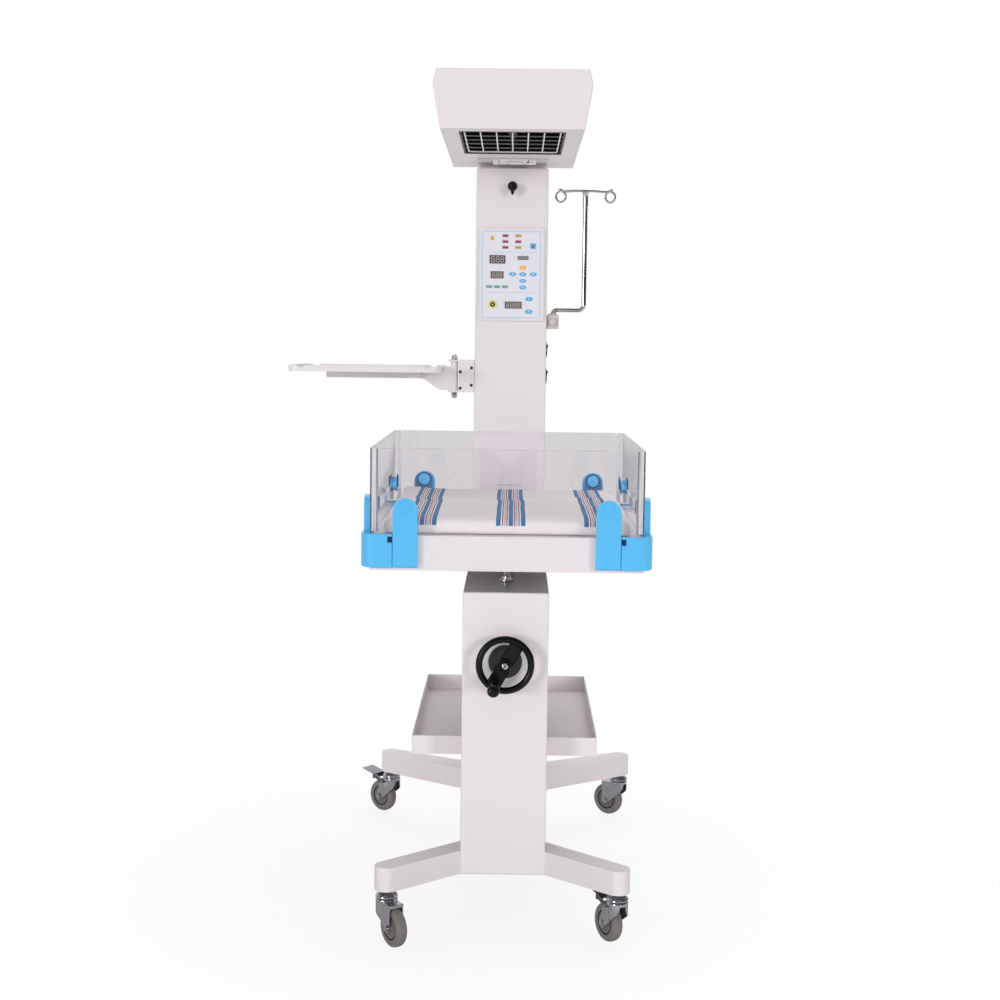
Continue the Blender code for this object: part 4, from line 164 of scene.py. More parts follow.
def paint_skin():
    """Fine orange peel with a slow drift of tone and of gloss, as on powder paint."""
    tree, start, end = group(
        "paint_skin",
        [
            ("Tone", "Color", (0.8, 0.8, 0.8, 1)),
            ("Drift", "Float", 0.03),
            ("Grain", "Float", 900),
            ("Depth", "Float", 0.05),
            ("Gloss", "Float", 0.4),
        ],
        [("Color", "Color"), ("Roughness", "Float"), ("Normal", "Vector")],
    )
    place = coordinates(tree)
    slow = noise_of(tree, (place, "Object"), 3.5, 4, 0.55)
    fine = noise_of(tree, (place, "Object"), (start, "Grain"), 3)
    swing = maths(tree, "SUBTRACT", (slow, "Fac"), 0.5)
    amount = maths(tree, "MULTIPLY", swing, (start, "Drift"))
    bright = maths(tree, "ADD", amount, 1)
    tint = scaled(tree, (start, "Tone"), bright)
    sheen = maths(tree, "MULTIPLY_ADD", swing, 0.18, (start, "Gloss"))
    bump = node_of(
        tree, "ShaderNodeBump", in_Distance=0.0004, in_Height=(fine, "Fac"), in_Strength=(start, "Depth"),
    )
    feed(end, Color=tint, Roughness=sheen, Normal=(bump, "Normal"))
    return tree


def handled_wear():
    """Mask of faint dust low down and rubbed specks, from 0 to 1."""
    tree, start, end = group(
        "handled_wear",
        [("Top", "Float", 0.2), ("Reach", "Float", 0.3), ("Specks", "Float", 0.35)],
        [("Mask", "Float")],
    )
    place = coordinates(tree)
    split = node_of(tree, "ShaderNodeSeparateXYZ", in_Vector=(place, "Object"))
    low = maths(tree, "SUBTRACT", (start, "Top"), (split, "Z"))
    part = maths(tree, "DIVIDE", low, (start, "Reach"), clamp=True)
    cloud = noise_of(tree, (place, "Object"), 24, 6, 0.7)
    patch = ranged(tree, (cloud, "Fac"), 0.45, 0.8)
    rub = maths(tree, "MULTIPLY", patch, (start, "Specks"))
    both = maths(tree, "MULTIPLY_ADD", part, patch, rub, clamp=True)
    feed(end, Mask=both)
    return tree


def fine_scratches():
    """Height and gloss of short scratches along one axis, as on plated or brushed metal."""
    tree, start, end = group(
        "fine_scratches",
        [
            ("Stretch", "Vector", (1, 1, 1)), ("Scale", "Float", 300),
            ("Base", "Float", 0.15), ("Spread", "Float", 0.1),
        ],
        [("Height", "Float"), ("Roughness", "Float")],
    )
    place = coordinates(tree)
    spread = node_of(
        tree, "ShaderNodeVectorMath", operation="MULTIPLY", in_0=(place, "Object"), in_1=(start, "Stretch"),
    )
    hair = noise_of(tree, spread, (start, "Scale"), 5, 0.6)
    gloss = maths(tree, "MULTIPLY_ADD", (hair, "Fac"), (start, "Spread"), (start, "Base"))
    feed(end, Height=(hair, "Fac"), Roughness=gloss)
    return tree


PAINT_SKIN = paint_skin()
WEAR = handled_wear()
SCRATCHES = fine_scratches()


def used_group(tree, shared, **values):
    """A shared group placed in a material with its own values."""
    made = node_of(tree, "ShaderNodeGroup", node_tree=shared)
    feed(made, **values)
    return made


def finish(name, **sockets):
    """A new material with its main shader: (material, tree, shader)."""
    material = bpy.data.materials.new(name)
    material.use_nodes = True
    tree = material.node_tree
    shader = tree.nodes["Principled BSDF"]
    feed(shader, **sockets)
    return material, tree, shader


def painted(name, tone, gloss=0.42, depth=0.12, grain=750, drift=0.03, dust=0.22, dust_top=0.14, **sockets):
    """Paint or moulded plastic: the skin, with dust that gathers low down."""
    material, tree, shader = finish(name, **sockets)
    skin = used_group(tree, PAINT_SKIN, Tone=tone, Drift=drift, Grain=grain, Depth=depth, Gloss=gloss)
    wear = used_group(tree, WEAR, Top=dust_top, Reach=0.12, Specks=0.1)
    share = maths(tree, "MULTIPLY", (wear, "Mask"), dust)
    mix = blended(tree, share, (skin, "Color"), tuple(0.72 * part for part in tone[:3]) + (1,))
    feed(shader, Base_Color=(mix, 2), Roughness=(skin, "Roughness"), Normal=(skin, "Normal"))
    return material


def plated(name, tone, base=0.1, spread=0.12, stretch=(1, 1, 1), scale=300, dull=0.1, wave=0.0, **sockets):
    """Bare or plated metal with fine scratches and a slow dulling."""
    material, tree, shader = finish(name, Metallic=1.0, **sockets)
    hair = used_group(tree, SCRATCHES, Stretch=stretch, Scale=scale, Base=base, Spread=spread)
    place = coordinates(tree)
    cloud = noise_of(tree, (place, "Object"), 38, 5)
    duller = [part * (1 - dull) for part in tone[:3]]
    ramp = ramp_of(tree, (cloud, "Fac"), (0.3, *duller), (0.7, *tone[:3]))
    bump = node_of(tree, "ShaderNodeBump", in_Strength=0.08, in_Distance=0.0002, in_Height=(hair, "Height"))
    feed(shader, Base_Color=(ramp, "Color"), Roughness=(hair, "Roughness"), Normal=(bump, "Normal"))
    if wave:
        dents = noise_of(tree, (place, "Object"), 34, 0)
        pressed = node_of(tree, "ShaderNodeBump", in_Strength=1.0, in_Distance=wave, in_Height=(dents, "Fac"))
        feed(bump, Normal=(pressed, "Normal"))
    return material


WHITE = (0.80, 0.745, 0.768, 1)
PAINT = painted("white_powder_paint", WHITE, gloss=0.40, Coat_Weight=0.12, Coat_Roughness=0.25)
# The head's copy of the white paint, a little darker where light falls strongly on the hood: painted shade.
HEAD_PAINT_SHADED_COPY = painted("hood_paint_shaded_copy", (0.79, 0.73, 0.752, 1), gloss=0.38, Coat_Weight=0.15, Coat_Roughness=0.2)
TRAY_PLASTIC = painted("tray_plastic", (0.79, 0.75, 0.772, 1), gloss=0.36, depth=0.05, grain=1600, dust=0.06)
SCALE_WHITE = painted("scale_white", (0.93, 0.92, 0.93, 1), gloss=0.35, depth=0.03, dust=0.02)
BEIGE = painted("beige_plastic", (0.60, 0.545, 0.51, 1), gloss=0.45, depth=0.08, grain=1200, dust=0.05)
BLUE = painted(
    "sky_blue_plastic", (0.085, 0.50, 0.90, 1), gloss=0.30, depth=0.05, grain=1500, drift=0.06, dust=0.05,
    Coat_Weight=0.2, Coat_Roughness=0.12,
)
BLACK = painted(
    "gloss_black_plastic", (0.003, 0.003, 0.004, 1), gloss=0.2, depth=0.02, grain=900, drift=0.3, dust=0.0,
    Specular_IOR_Level=0.25,
)
# Matt black plastic, also used for the painted shade in the screws' cross recesses.
DARK = painted(
    "matt_black_plastic_and_recess_shade", (0.03, 0.03, 0.032, 1), gloss=0.5, depth=0.2, grain=1400, drift=0.3, dust=0.1,
)
SHADOW_GREY = painted("dark_recess", (0.06, 0.058, 0.06, 1), gloss=0.6, depth=0.2, drift=0.3, dust=0.1)
CHROME = plated("bright_chrome", (0.60, 0.60, 0.61, 1), base=0.05, spread=0.06, dull=0.06)
ZINC = plated("zinc_plate", (0.62, 0.62, 0.66, 1), base=0.09, spread=0.1, scale=160, dull=0.12, wave=0.0042)
PEDAL_STEEL = plated("pedal_steel", (0.22, 0.225, 0.24, 1), base=0.26, spread=0.14, scale=160, dull=0.2)
STEEL = plated(
    "turned_steel", (0.34, 0.33, 0.33, 1), base=0.14, spread=0.14, stretch=(1, 1, 14), scale=160, dull=0.2,
)
# The polished reflector, toned near black for the dark it reflects inside the hood: painted reflection.
MIRROR_PAINTED_DARK = plated(
    "reflector_sheet_painted_dark", (0.07, 0.07, 0.075, 1), base=0.14, spread=0.12, stretch=(8, 1, 8), scale=90,
    dull=0.5,
)
BRIGHT_STEEL = plated("bright_steel", (0.72, 0.71, 0.70, 1), base=0.14, spread=0.14, scale=220, dull=0.12)
BRASS = plated("brassy_steel", (0.30, 0.25, 0.20, 1), base=0.3, spread=0.2, dull=0.4)


def rubber(name, tone, gloss, dust):
    """Moulded tyre rubber: dull, slightly mottled, with dust on it."""
    return painted(name, tone, gloss=gloss, depth=0.35, grain=420, drift=0.25, dust=dust, dust_top=0.09)


TYRE = rubber("grey_tyre", (0.20, 0.182, 0.174, 1), 0.5, 0.2)
HUB = painted("grey_hub", (0.155, 0.14, 0.138, 1), gloss=0.4, depth=0.1, drift=0.12, dust=0.15)
# Dull grey of the grille's cross wires, darker than the bars because they lie deeper in the hood: partly the
# wire's own tone, partly painted shade.
WIRE_GREY_PART_SHADE = painted("dull_wire_part_shade", (0.20, 0.20, 0.205, 1), gloss=0.35, depth=0.05, drift=0.1, dust=0.05)
# Access plate paint, a little darker than the column's so that its outline shows: painted shade.
PLATE_GREY_PAINTED_SHADE = painted("access_plate_painted_shade", (0.73, 0.685, 0.705, 1), gloss=0.42, dust=0.1)
# Two darker blues for painted shade: one in the arms' arch recesses, one in the button grooves and the corner
# blocks' slots.
ARCH_SHADE_BLUE = painted("arch_painted_shade_blue", (0.012, 0.16, 0.40, 1), gloss=0.4, depth=0.04, dust=0.03)
SLOT_SHADE_BLUE = painted("slot_painted_shade_blue", (0.004, 0.035, 0.11, 1), gloss=0.5, depth=0.04, dust=0.03)


def cap_paint_with_bed_shade():
    """Grey paint of the lift column's top, with painted shade: pale at its front edge and darker towards the
    back, where the bed shades it.
    """
    material, tree, shader = finish("grey_cap_painted_shade", Metallic=0.0, Roughness=0.34, Specular_IOR_Level=0.4)
    place = coordinates(tree)
    split = node_of(tree, "ShaderNodeSeparateXYZ", in_Vector=(place, "Object"))
    speck = noise_of(tree, (place, "Object"), 260, 2)
    blur = maths(tree, "MULTIPLY_ADD", (speck, "Fac"), 0.02, (split, "Y"))
    # Painted shade of the bed: the grey darkens from the cap's front edge towards its back.
    depth = eased_range(tree, blur, spot(0, -30, 0).y, spot(0, 240, 0).y)
    ramp = ramp_of(tree, depth, (0, 0.36, 0.37, 0.375), (1, 0.15, 0.155, 0.16))
    feed(shader, Base_Color=(ramp, "Color"))
    return material


CAP_GREY_PAINTED_SHADE = cap_paint_with_bed_shade()
SOFT_BLACK = painted(
    "satin_black_plastic", (0.038, 0.038, 0.043, 1), gloss=0.42, depth=0.06, drift=0.2, dust=0.05,
)
BLUE_LINE = painted("blue_plastic_seam", (0.05, 0.36, 0.70, 1), gloss=0.4, depth=0.04, drift=0.05, dust=0.03)


def printed(name, tone):
    """Ink or lens plastic of the control panel."""
    return painted(name, tone, gloss=0.34, depth=0.03, grain=2200, drift=0.05, dust=0.02)


def clear_acrylic():
    """Clear acrylic with haze and rub marks, that lets light fall through on what it stands round."""
    material, tree, shader = finish(
        "clear_acrylic", Transmission_Weight=1.0, IOR=1.45, Metallic=0.0, Specular_IOR_Level=0.5
    )
    place = coordinates(tree)
    haze = noise_of(tree, (place, "Object"), 7, 3)
    ramp = ramp_of(tree, (haze, "Fac"), (0, 0.977, 0.952, 0.969), (1, 0.992, 0.974, 0.986))
    rub = used_group(tree, SCRATCHES, Stretch=(1, 1, 5), Scale=60, Base=-0.04, Spread=0.1)
    feed(shader, Base_Color=(ramp, "Color"), Roughness=(rub, "Roughness"))
    path = node_of(tree, "ShaderNodeLightPath")
    soft = maths(tree, "MAXIMUM", (path, "Is Shadow Ray"), (path, "Is Diffuse Ray"))
    through = node_of(tree, "ShaderNodeBsdfTransparent", in_Color=(0.985, 0.985, 0.99, 1))
    mix = node_of(tree, "ShaderNodeMixShader", in_0=soft, in_1=shader, in_2=through)
    feed(tree.nodes["Material Output"], Surface=mix)
    return material


ACRYLIC = clear_acrylic()


def acrylic_edge_painted_light():
    """Sawn edge of the clear panels, in painted light: a painted pale highlight on top, painted grey
    reflection streaks, painted dark shade at the borders of the ends, and a paler painted grey on the far
    rims.
    """
    material, tree, shader = finish(
        "acrylic_edge_painted_light", Transmission_Weight=0.15, IOR=1.45, Metallic=0.0, Specular_IOR_Level=0.4,
        Roughness=0.22,
    )
    place = coordinates(tree)
    split = node_of(tree, "ShaderNodeSeparateXYZ", in_Vector=(place, "Object"))
    off = maths(tree, "SUBTRACT", (split, "X"), MIDDLE.x)
    side = maths(tree, "ABSOLUTE", off)
    part = ranged(tree, side, 0.2508, 0.2672)
    # Painted shade and highlight across each end's edge: dark at its borders, pale between.
    ramp = ramp_of(
        tree, part, (0, 0.14, 0.14, 0.17), (0.09, 0.24, 0.24, 0.31), (0.18, 0.52, 0.51, 0.58),
        (0.34, 0.68, 0.67, 0.72),
        (0.5, 0.80, 0.78, 0.82), (0.9, 0.84, 0.82, 0.85), (0.98, 0.40, 0.40, 0.44),
    )
    # Painted reflection streaks along the edge.
    stretch = node_of(tree, "ShaderNodeMapping", in_Scale=(420, 420, 9), in_Vector=(place, "Object"))
    reflection_streak = noise_of(tree, stretch, 1, 3)
    shade = ranged(tree, (reflection_streak, "Fac"), 0.35, 0.65, 0.72, 1.18)
    tint = scaled(tree, (ramp, "Color"), shade)
    # Painted light: the far rims turn paler, and faces that look up or down are pale.
    far = ranged(tree, (split, "Y"), spot(0, 60, 0).y, spot(0, 560, 0).y, end=0.95)
    eased_tint = blended(tree, far, tint, (0.74, 0.73, 0.77, 1))
    facing = node_of(tree, "ShaderNodeSeparateXYZ", in_Vector=(place, "Normal"))
    top_highlight = maths(tree, "ABSOLUTE", (facing, "Z"))
    mix = blended(tree, top_highlight, (eased_tint, 2), (0.70, 0.69, 0.71, 1))
    feed(shader, Base_Color=(mix, 2))
    return material


ACRYLIC_EDGE_PAINTED_LIGHT = acrylic_edge_painted_light()


def quartz():
    """Dull heater tube with a wound look along it."""
    material, tree, shader = finish("quartz_tube", Roughness=0.35, Coat_Weight=0.3)
    place = coordinates(tree)
    turns = node_of(
        tree, "ShaderNodeTexWave", bands_direction="Y", wave_profile="SIN", in_Scale=90,
        in_Vector=(place, "Object"),
    )
    ramp = ramp_of(tree, (turns, "Fac"), (0, 0.16, 0.14, 0.13), (1, 0.38, 0.36, 0.34))
    feed(shader, Base_Color=(ramp, "Color"))
    return material


QUARTZ = quartz()


def circuit():
    """Green board with darker patches for its parts."""
    material, tree, shader = finish("circuit_green", Roughness=0.4)
    place = coordinates(tree)
    cells = node_of(
        tree, "ShaderNodeTexVoronoi", distance="CHEBYCHEV", in_Scale=70, in_Vector=(place, "Object"),
    )
    ramp = ramp_of(tree, (cells, "Distance"), (0, 0.015, 0.05, 0.025), (0.25, 0.02, 0.17, 0.06))
    feed(shader, Base_Color=(ramp, "Color"))
    return material


BOARD = circuit()

# Each band's middle, its lean and how far back the crease shifts it
BANDS = ((-166.0, 0.006, 352.0), (7.2, 0.0, 352.0), (179.5, 0.0, 420.0))
PAD_WAIST = 0.7885


def striped_cotton():
    """White cotton with three printed bands of stripes, a fine weave, sheen and soft shade changes."""
    material, tree, shader = finish(
        "striped_cotton", Roughness=0.92, Sheen_Weight=0.08, Sheen_Roughness=0.5, Specular_IOR_Level=0.15
    )
    place = coordinates(tree)
    split = node_of(tree, "ShaderNodeSeparateXYZ", in_Vector=(place, "Object"))
    wander = noise_of(tree, (place, "Object"), 9, 2)
    sway = maths(tree, "MULTIPLY_ADD", (wander, "Fac"), 0.0025, (split, "X"))
    depth = maths(tree, "SUBTRACT", (split, "Y"), MIDDLE.y)
    nearest = None
    for middle, lean, crease in BANDS:
        splay = maths(tree, "MULTIPLY_ADD", depth, lean, sway)
        fold = eased_range(tree, depth, (crease - 8) * MM, (crease + 10) * MM, end=0.0032)
        shifted = maths(tree, "ADD", splay, fold)
        away = maths(tree, "SUBTRACT", shifted, middle * MM + MIDDLE.x + 0.00125)
        size = maths(tree, "ABSOLUTE", away)
        nearest = size if nearest is None else maths(tree, "MINIMUM", nearest, size)
    part = maths(tree, "DIVIDE", nearest, 0.030, clamp=True)
    below = maths(tree, "LESS_THAN", (split, "Z"), PAD_WAIST)
    across = maths(tree, "MAXIMUM", part, below)
    blue, red, cloth, pale = (0.008, 0.165, 0.41), (0.42, 0.03, 0.06), (0.90, 0.855, 0.86), (0.32, 0.52, 0.66)
    starts = (0.0, 0.145, 0.21, 0.29, 0.335, 0.43, 0.49, 0.57, 0.65, 0.95)
    tones = (blue, cloth, red, cloth, pale, cloth, red, cloth, blue, cloth)
    ramp = ramp_of(tree, across, *[(low, *tone) for low, tone in zip(starts, tones)], kind="CONSTANT")
    soft = noise_of(tree, (place, "Object"), 14, 5)
    shade = ranged(tree, (soft, "Fac"), 0.0, 1.0, 0.95, 1.03)
    tint = scaled(tree, (ramp, "Color"), shade)
    warp = node_of(tree, "ShaderNodeTexWave", bands_direction="X", in_Scale=260, in_Vector=(place, "Object"))
    weft = node_of(tree, "ShaderNodeTexWave", bands_direction="Y", in_Scale=260, in_Vector=(place, "Object"))
    weave = maths(tree, "MAXIMUM", (warp, "Fac"), (weft, "Fac"))
    bump = node_of(tree, "ShaderNodeBump", in_Strength=0.25, in_Distance=0.0004, in_Height=weave)
    feed(shader, Base_Color=tint, Normal=(bump, "Normal"))
    return material


COTTON = striped_cotton()

FINISH_OF_SLOT = {
    "white_paint": PAINT,
    "white_plastic": TRAY_PLASTIC,
    "beige_plastic": BEIGE,
    "blue_plastic": BLUE,
    "black_plastic": BLACK,
    "clear_panel": ACRYLIC,
    "sheet": COTTON,
    "chrome": CHROME,
    "steel": STEEL,
    "grey_rubber": TYRE,
    "reflector_metal": MIRROR_PAINTED_DARK,
    "heater_ceramic": QUARTZ,
    "board": BOARD,
}
FINISH_OF_NODE = {
    "head_hood": HEAD_PAINT_SHADED_COPY,
    "head_base": HEAD_PAINT_SHADED_COPY,
    "handwheel_bush": DARK,
    "switch_upper": DARK,
    "switch_lower": DARK,
    "power_inlet": DARK,
}
FINISH_OF_NODE.update({"caster_fork_" + end: ZINC for end in ENDS})
FINISH_OF_NODE.update({name: PEDAL_STEEL for name in ("brake_pedal_front_right", "brake_pedal_rear_left")})


def finish_of(name):
    """The finish of a node's slot, or its own."""
    return FINISH_OF_NODE.get(name) or FINISH_OF_SLOT[SLOTS[name]]


# Mesh helpers


def added(name, data):
    """A new object in the scene."""
    piece = bpy.data.objects.new(name, data)
    bpy.context.scene.collection.objects.link(piece)
    return piece


def mesh_from(shape, name, outwards=True):
    """Closes a bmesh into a mesh, with its faces turned outwards."""
    if outwards:
        bmesh.ops.recalc_face_normals(shape, faces=shape.faces)
    mesh = bpy.data.meshes.new(name)
    shape.to_mesh(mesh)
    shape.free()
    return mesh


def rides(piece, node, stands=False, body=None):
    """Puts a piece on a node's body, and hides the node where the piece stands for it."""
    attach(piece, body or BODY_OF[node])
    if stands:
        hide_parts(node)
    return piece


def merged(name):
    """A merged copy of a CAD node's mesh, with its flat faces whole again."""
    shape = bmesh.new()
    shape.from_mesh(frame["nodes"][name].data)
    bmesh.ops.remove_doubles(shape, verts=shape.verts, dist=2e-6)
    bmesh.ops.dissolve_limit(shape, angle_limit=math.radians(0.6), verts=shape.verts, edges=shape.edges)
    bmesh.ops.connect_verts_concave(shape, faces=shape.faces)
    return shape


def level_normals(mesh, limit=50):
    """Lets each flat face keep its own shading and eases only the narrow faces between them."""
    shape = bmesh.new()
    shape.from_mesh(mesh)
    near = math.cos(math.radians(limit))
    areas = [face.calc_area() for face in shape.faces]
    shape.faces.index_update()
    normals = []
    for face in shape.faces:
        for corner in face.loops:
            total = Vector((0, 0, 0))
            for other in corner.vert.link_faces:
                if other.normal.dot(face.normal) > near:
                    total += other.normal * areas[other.index]
            normals.append(total.normalized() if total.length > 0 else face.normal.copy())
    shape.free()
    mesh.shade_smooth()
    mesh.normals_split_custom_set(normals)


def applied(piece):
    """Turns a piece's live modifiers into its mesh."""
    graph = bpy.context.evaluated_depsgraph_get()
    graph.update()
    done = bpy.data.meshes.new_from_object(piece.evaluated_get(graph))
    piece.modifiers.clear()
    piece.data = done
    return done


def eased_edges(piece, width, angle=38):
    """Rounds a piece's sharp edges by a width in millimetres."""
    ease = piece.modifiers.new("ease", "BEVEL")
    ease.width = width * MM
    ease.segments = 2
    ease.limit_method = "ANGLE"
    ease.angle_limit = math.radians(angle)
    return applied(piece)


def softened(name, width):
    """A node's shape with its edges eased, which stands in for the node."""
    piece = added(name + "_eased", mesh_from(merged(name), name + "_eased", False))
    mesh = eased_edges(piece, width)
    level_normals(mesh)
    mesh.materials.clear()
    mesh.materials.append(finish_of(name))
    # Clear panels take a second material on their edge faces, coloured with painted highlights, reflections
    # and shade.
    if finish_of(name) == ACRYLIC:
        mesh.materials.append(ACRYLIC_EDGE_PAINTED_LIGHT)
        across = 1 if name in ("front_panel", "rear_panel") else 0
        for face in mesh.polygons:
            face.material_index = 1 if abs(face.normal[across]) < 0.6 else 0
    return rides(piece, name, True)


# Modelling in millimetres

FORWARDS, BACKWARDS, UPWARDS = (0, -1, 0), (0, 1, 0), (0, 0, 1)

def bench(place=(0, 0, 0), heading=0.0):
    """Takes millimetres to the row frame, from the bed's own origin or from a place turned about Z."""
    turn = Matrix.Rotation(math.radians(heading), 4, "Z")
    return Matrix.Translation(spot(*place)) @ turn @ Matrix.Scale(MM, 4)


def circle(centre, radius, steps):
    """Points on a whole circle."""
    angles = [math.tau * step / steps for step in range(steps)]
    return [(centre[0] + radius * math.cos(a), centre[1] + radius * math.sin(a)) for a in angles]


def arc(centre, radius, start, end, steps):
    """Points on a circle, from one angle to another in degrees."""
    angles = [math.radians(start + (end - start) * step / steps) for step in range(steps + 1)]
    return [(centre[0] + radius * math.cos(a), centre[1] + radius * math.sin(a)) for a in angles]


def square(low, high):
    """A plain rectangle between two corners."""
    return [low, (high[0], low[1]), high, (low[0], high[1])]


def rounded(low, high, radius, steps=5):
    """A rectangle with round corners."""
    (x0, y0), (x1, y1) = low, high
    corners = arc((x1 - radius, y1 - radius), radius, 0, 90, steps)
    corners += arc((x0 + radius, y1 - radius), radius, 90, 180, steps)
    corners += arc((x0 + radius, y0 + radius), radius, 180, 270, steps)
    return corners + arc((x1 - radius, y0 + radius), radius, 270, 360, steps)


def oval(centre, width, height, steps=36):
    """An ellipse's outline."""
    return [(centre[0] + width / 2 * a, centre[1] + height / 2 * b) for a, b in circle((0, 0), 1, steps)]


def on_plane(plane, a, b, depth):
    """A point drawn in one of the three planes, at a depth across it."""
    return {"XZ": (a, depth, b), "XY": (a, b, depth), "YZ": (depth, a, b)}[plane]


def prism(shape, outline, low, high, plane="XZ", mark=0):
    """A straight block on an outline, from low to high across its plane."""
    near = [shape.verts.new(on_plane(plane, a, b, low)) for a, b in outline]
    far = [shape.verts.new(on_plane(plane, a, b, high)) for a, b in outline]
    faces = [shape.faces.new(near), shape.faces.new(list(reversed(far)))]
    for step in range(len(outline)):
        after = (step + 1) % len(outline)
        faces.append(shape.faces.new((near[step], far[step], far[after], near[after])))
    for face in faces:
        face.material_index = mark
    return faces


def rim_band(shape, outer, inner, low, high, plane="XZ", mark=0):
    """A flat ring between two outlines with as many points each."""
    rings = []
    for outline, depth in ((outer, low), (outer, high), (inner, high), (inner, low)):
        rings.append([shape.verts.new(on_plane(plane, a, b, depth)) for a, b in outline])
    for near, far in zip(rings, rings[1:] + rings[:1]):
        for step in range(len(outer)):
            after = (step + 1) % len(outer)
            shape.faces.new((near[step], near[after], far[after], far[step])).material_index = mark


def lathe(shape, profile, place=(0, 0, 0), axis=UPWARDS, sides=40, marks=0, closed=False):
    """Turns (radius, along) pairs round an axis; a radius of zero is a pole."""
    axis, place = Vector(axis).normalized(), Vector(place)
    side = axis.orthogonal().normalized()
    other = axis.cross(side)
    rings = []
    for radius, along in profile:
        middle = place + axis * along
        if radius <= 0:
            rings.append([shape.verts.new(middle)] * sides)
            continue
        rings.append(
            [shape.verts.new(middle + (side * a + other * b) * radius) for a, b in circle((0, 0), 1, sides)]
        )
    pairs = list(zip(rings, rings[1:])) + ([(rings[-1], rings[0])] if closed else [])
    for order, (low, high) in enumerate(pairs):
        for step in range(sides):
            after = (step + 1) % sides
            corners = list(dict.fromkeys((low[step], low[after], high[after], high[step])))
            if len(corners) < 3:
                continue
            face = shape.faces.new(corners)
            face.material_index = marks[order] if isinstance(marks, (list, tuple)) else marks


def pipe(shape, points, radius, sides=16, closed=False, mark=0):
    """Sweeps a circle along points, with one radius or one for each point."""
    points = [Vector(point) for point in points]
    count = len(points)
    radii = radius if isinstance(radius, (list, tuple)) else [radius] * count
    rings = []
    side = None
    for step, point in enumerate(points):
        before = points[step - 1] if step or closed else point
        after = points[(step + 1) % count] if step < count - 1 or closed else point
        ahead = (after - before).normalized()
        side = ahead.orthogonal() if side is None else side - ahead * side.dot(ahead)
        side.normalize()
        other = ahead.cross(side)
        ways = [side * a + other * b for a, b in circle((0, 0), 1, sides)]
        rings.append([shape.verts.new(point + way * radii[step]) for way in ways])
    pairs = list(zip(rings, rings[1:])) + ([(rings[-1], rings[0])] if closed else [])
    for low, high in pairs:
        for part in range(sides):
            after = (part + 1) % sides
            shape.faces.new((low[part], low[after], high[after], high[part])).material_index = mark
    if not closed:
        for ring in (rings[0], rings[-1]):
            shape.faces.new(ring).material_index = mark


def hexagon(centre, radius, turn=0.0):
    """Six corners round a centre."""
    return arc(centre, radius, turn, turn + 300, 5)


def piece_of(name, shape, materials, node, stands=False, where=None, ease=0.0, angle=38, body=None):
    """Finishes a shape drawn in millimetres: placed, its edges eased, and riding on its node's body."""
    bmesh.ops.remove_doubles(shape, verts=shape.verts, dist=0.0005)
    bmesh.ops.transform(shape, matrix=where or bench(), verts=shape.verts)
    mesh = mesh_from(shape, name)
    piece = added(name, mesh)
    for one in materials if isinstance(materials, list) else [materials]:
        mesh.materials.append(one)
    if ease:
        mesh = eased_edges(piece, ease, angle)
    level_normals(mesh, 40)
    return rides(piece, node, stands, body)


# Repeated small parts, grown by geometry nodes


SHAPE_SOCKET = ("Geometry", "Geometry")


def growing_tree(name, **inputs):
    """An empty geometry tree with its named inputs, and its two end nodes."""
    rows = [SHAPE_SOCKET + (None,)] + [(label, *given) for label, given in inputs.items()]
    return group(name, rows, [SHAPE_SOCKET], "Geometry")


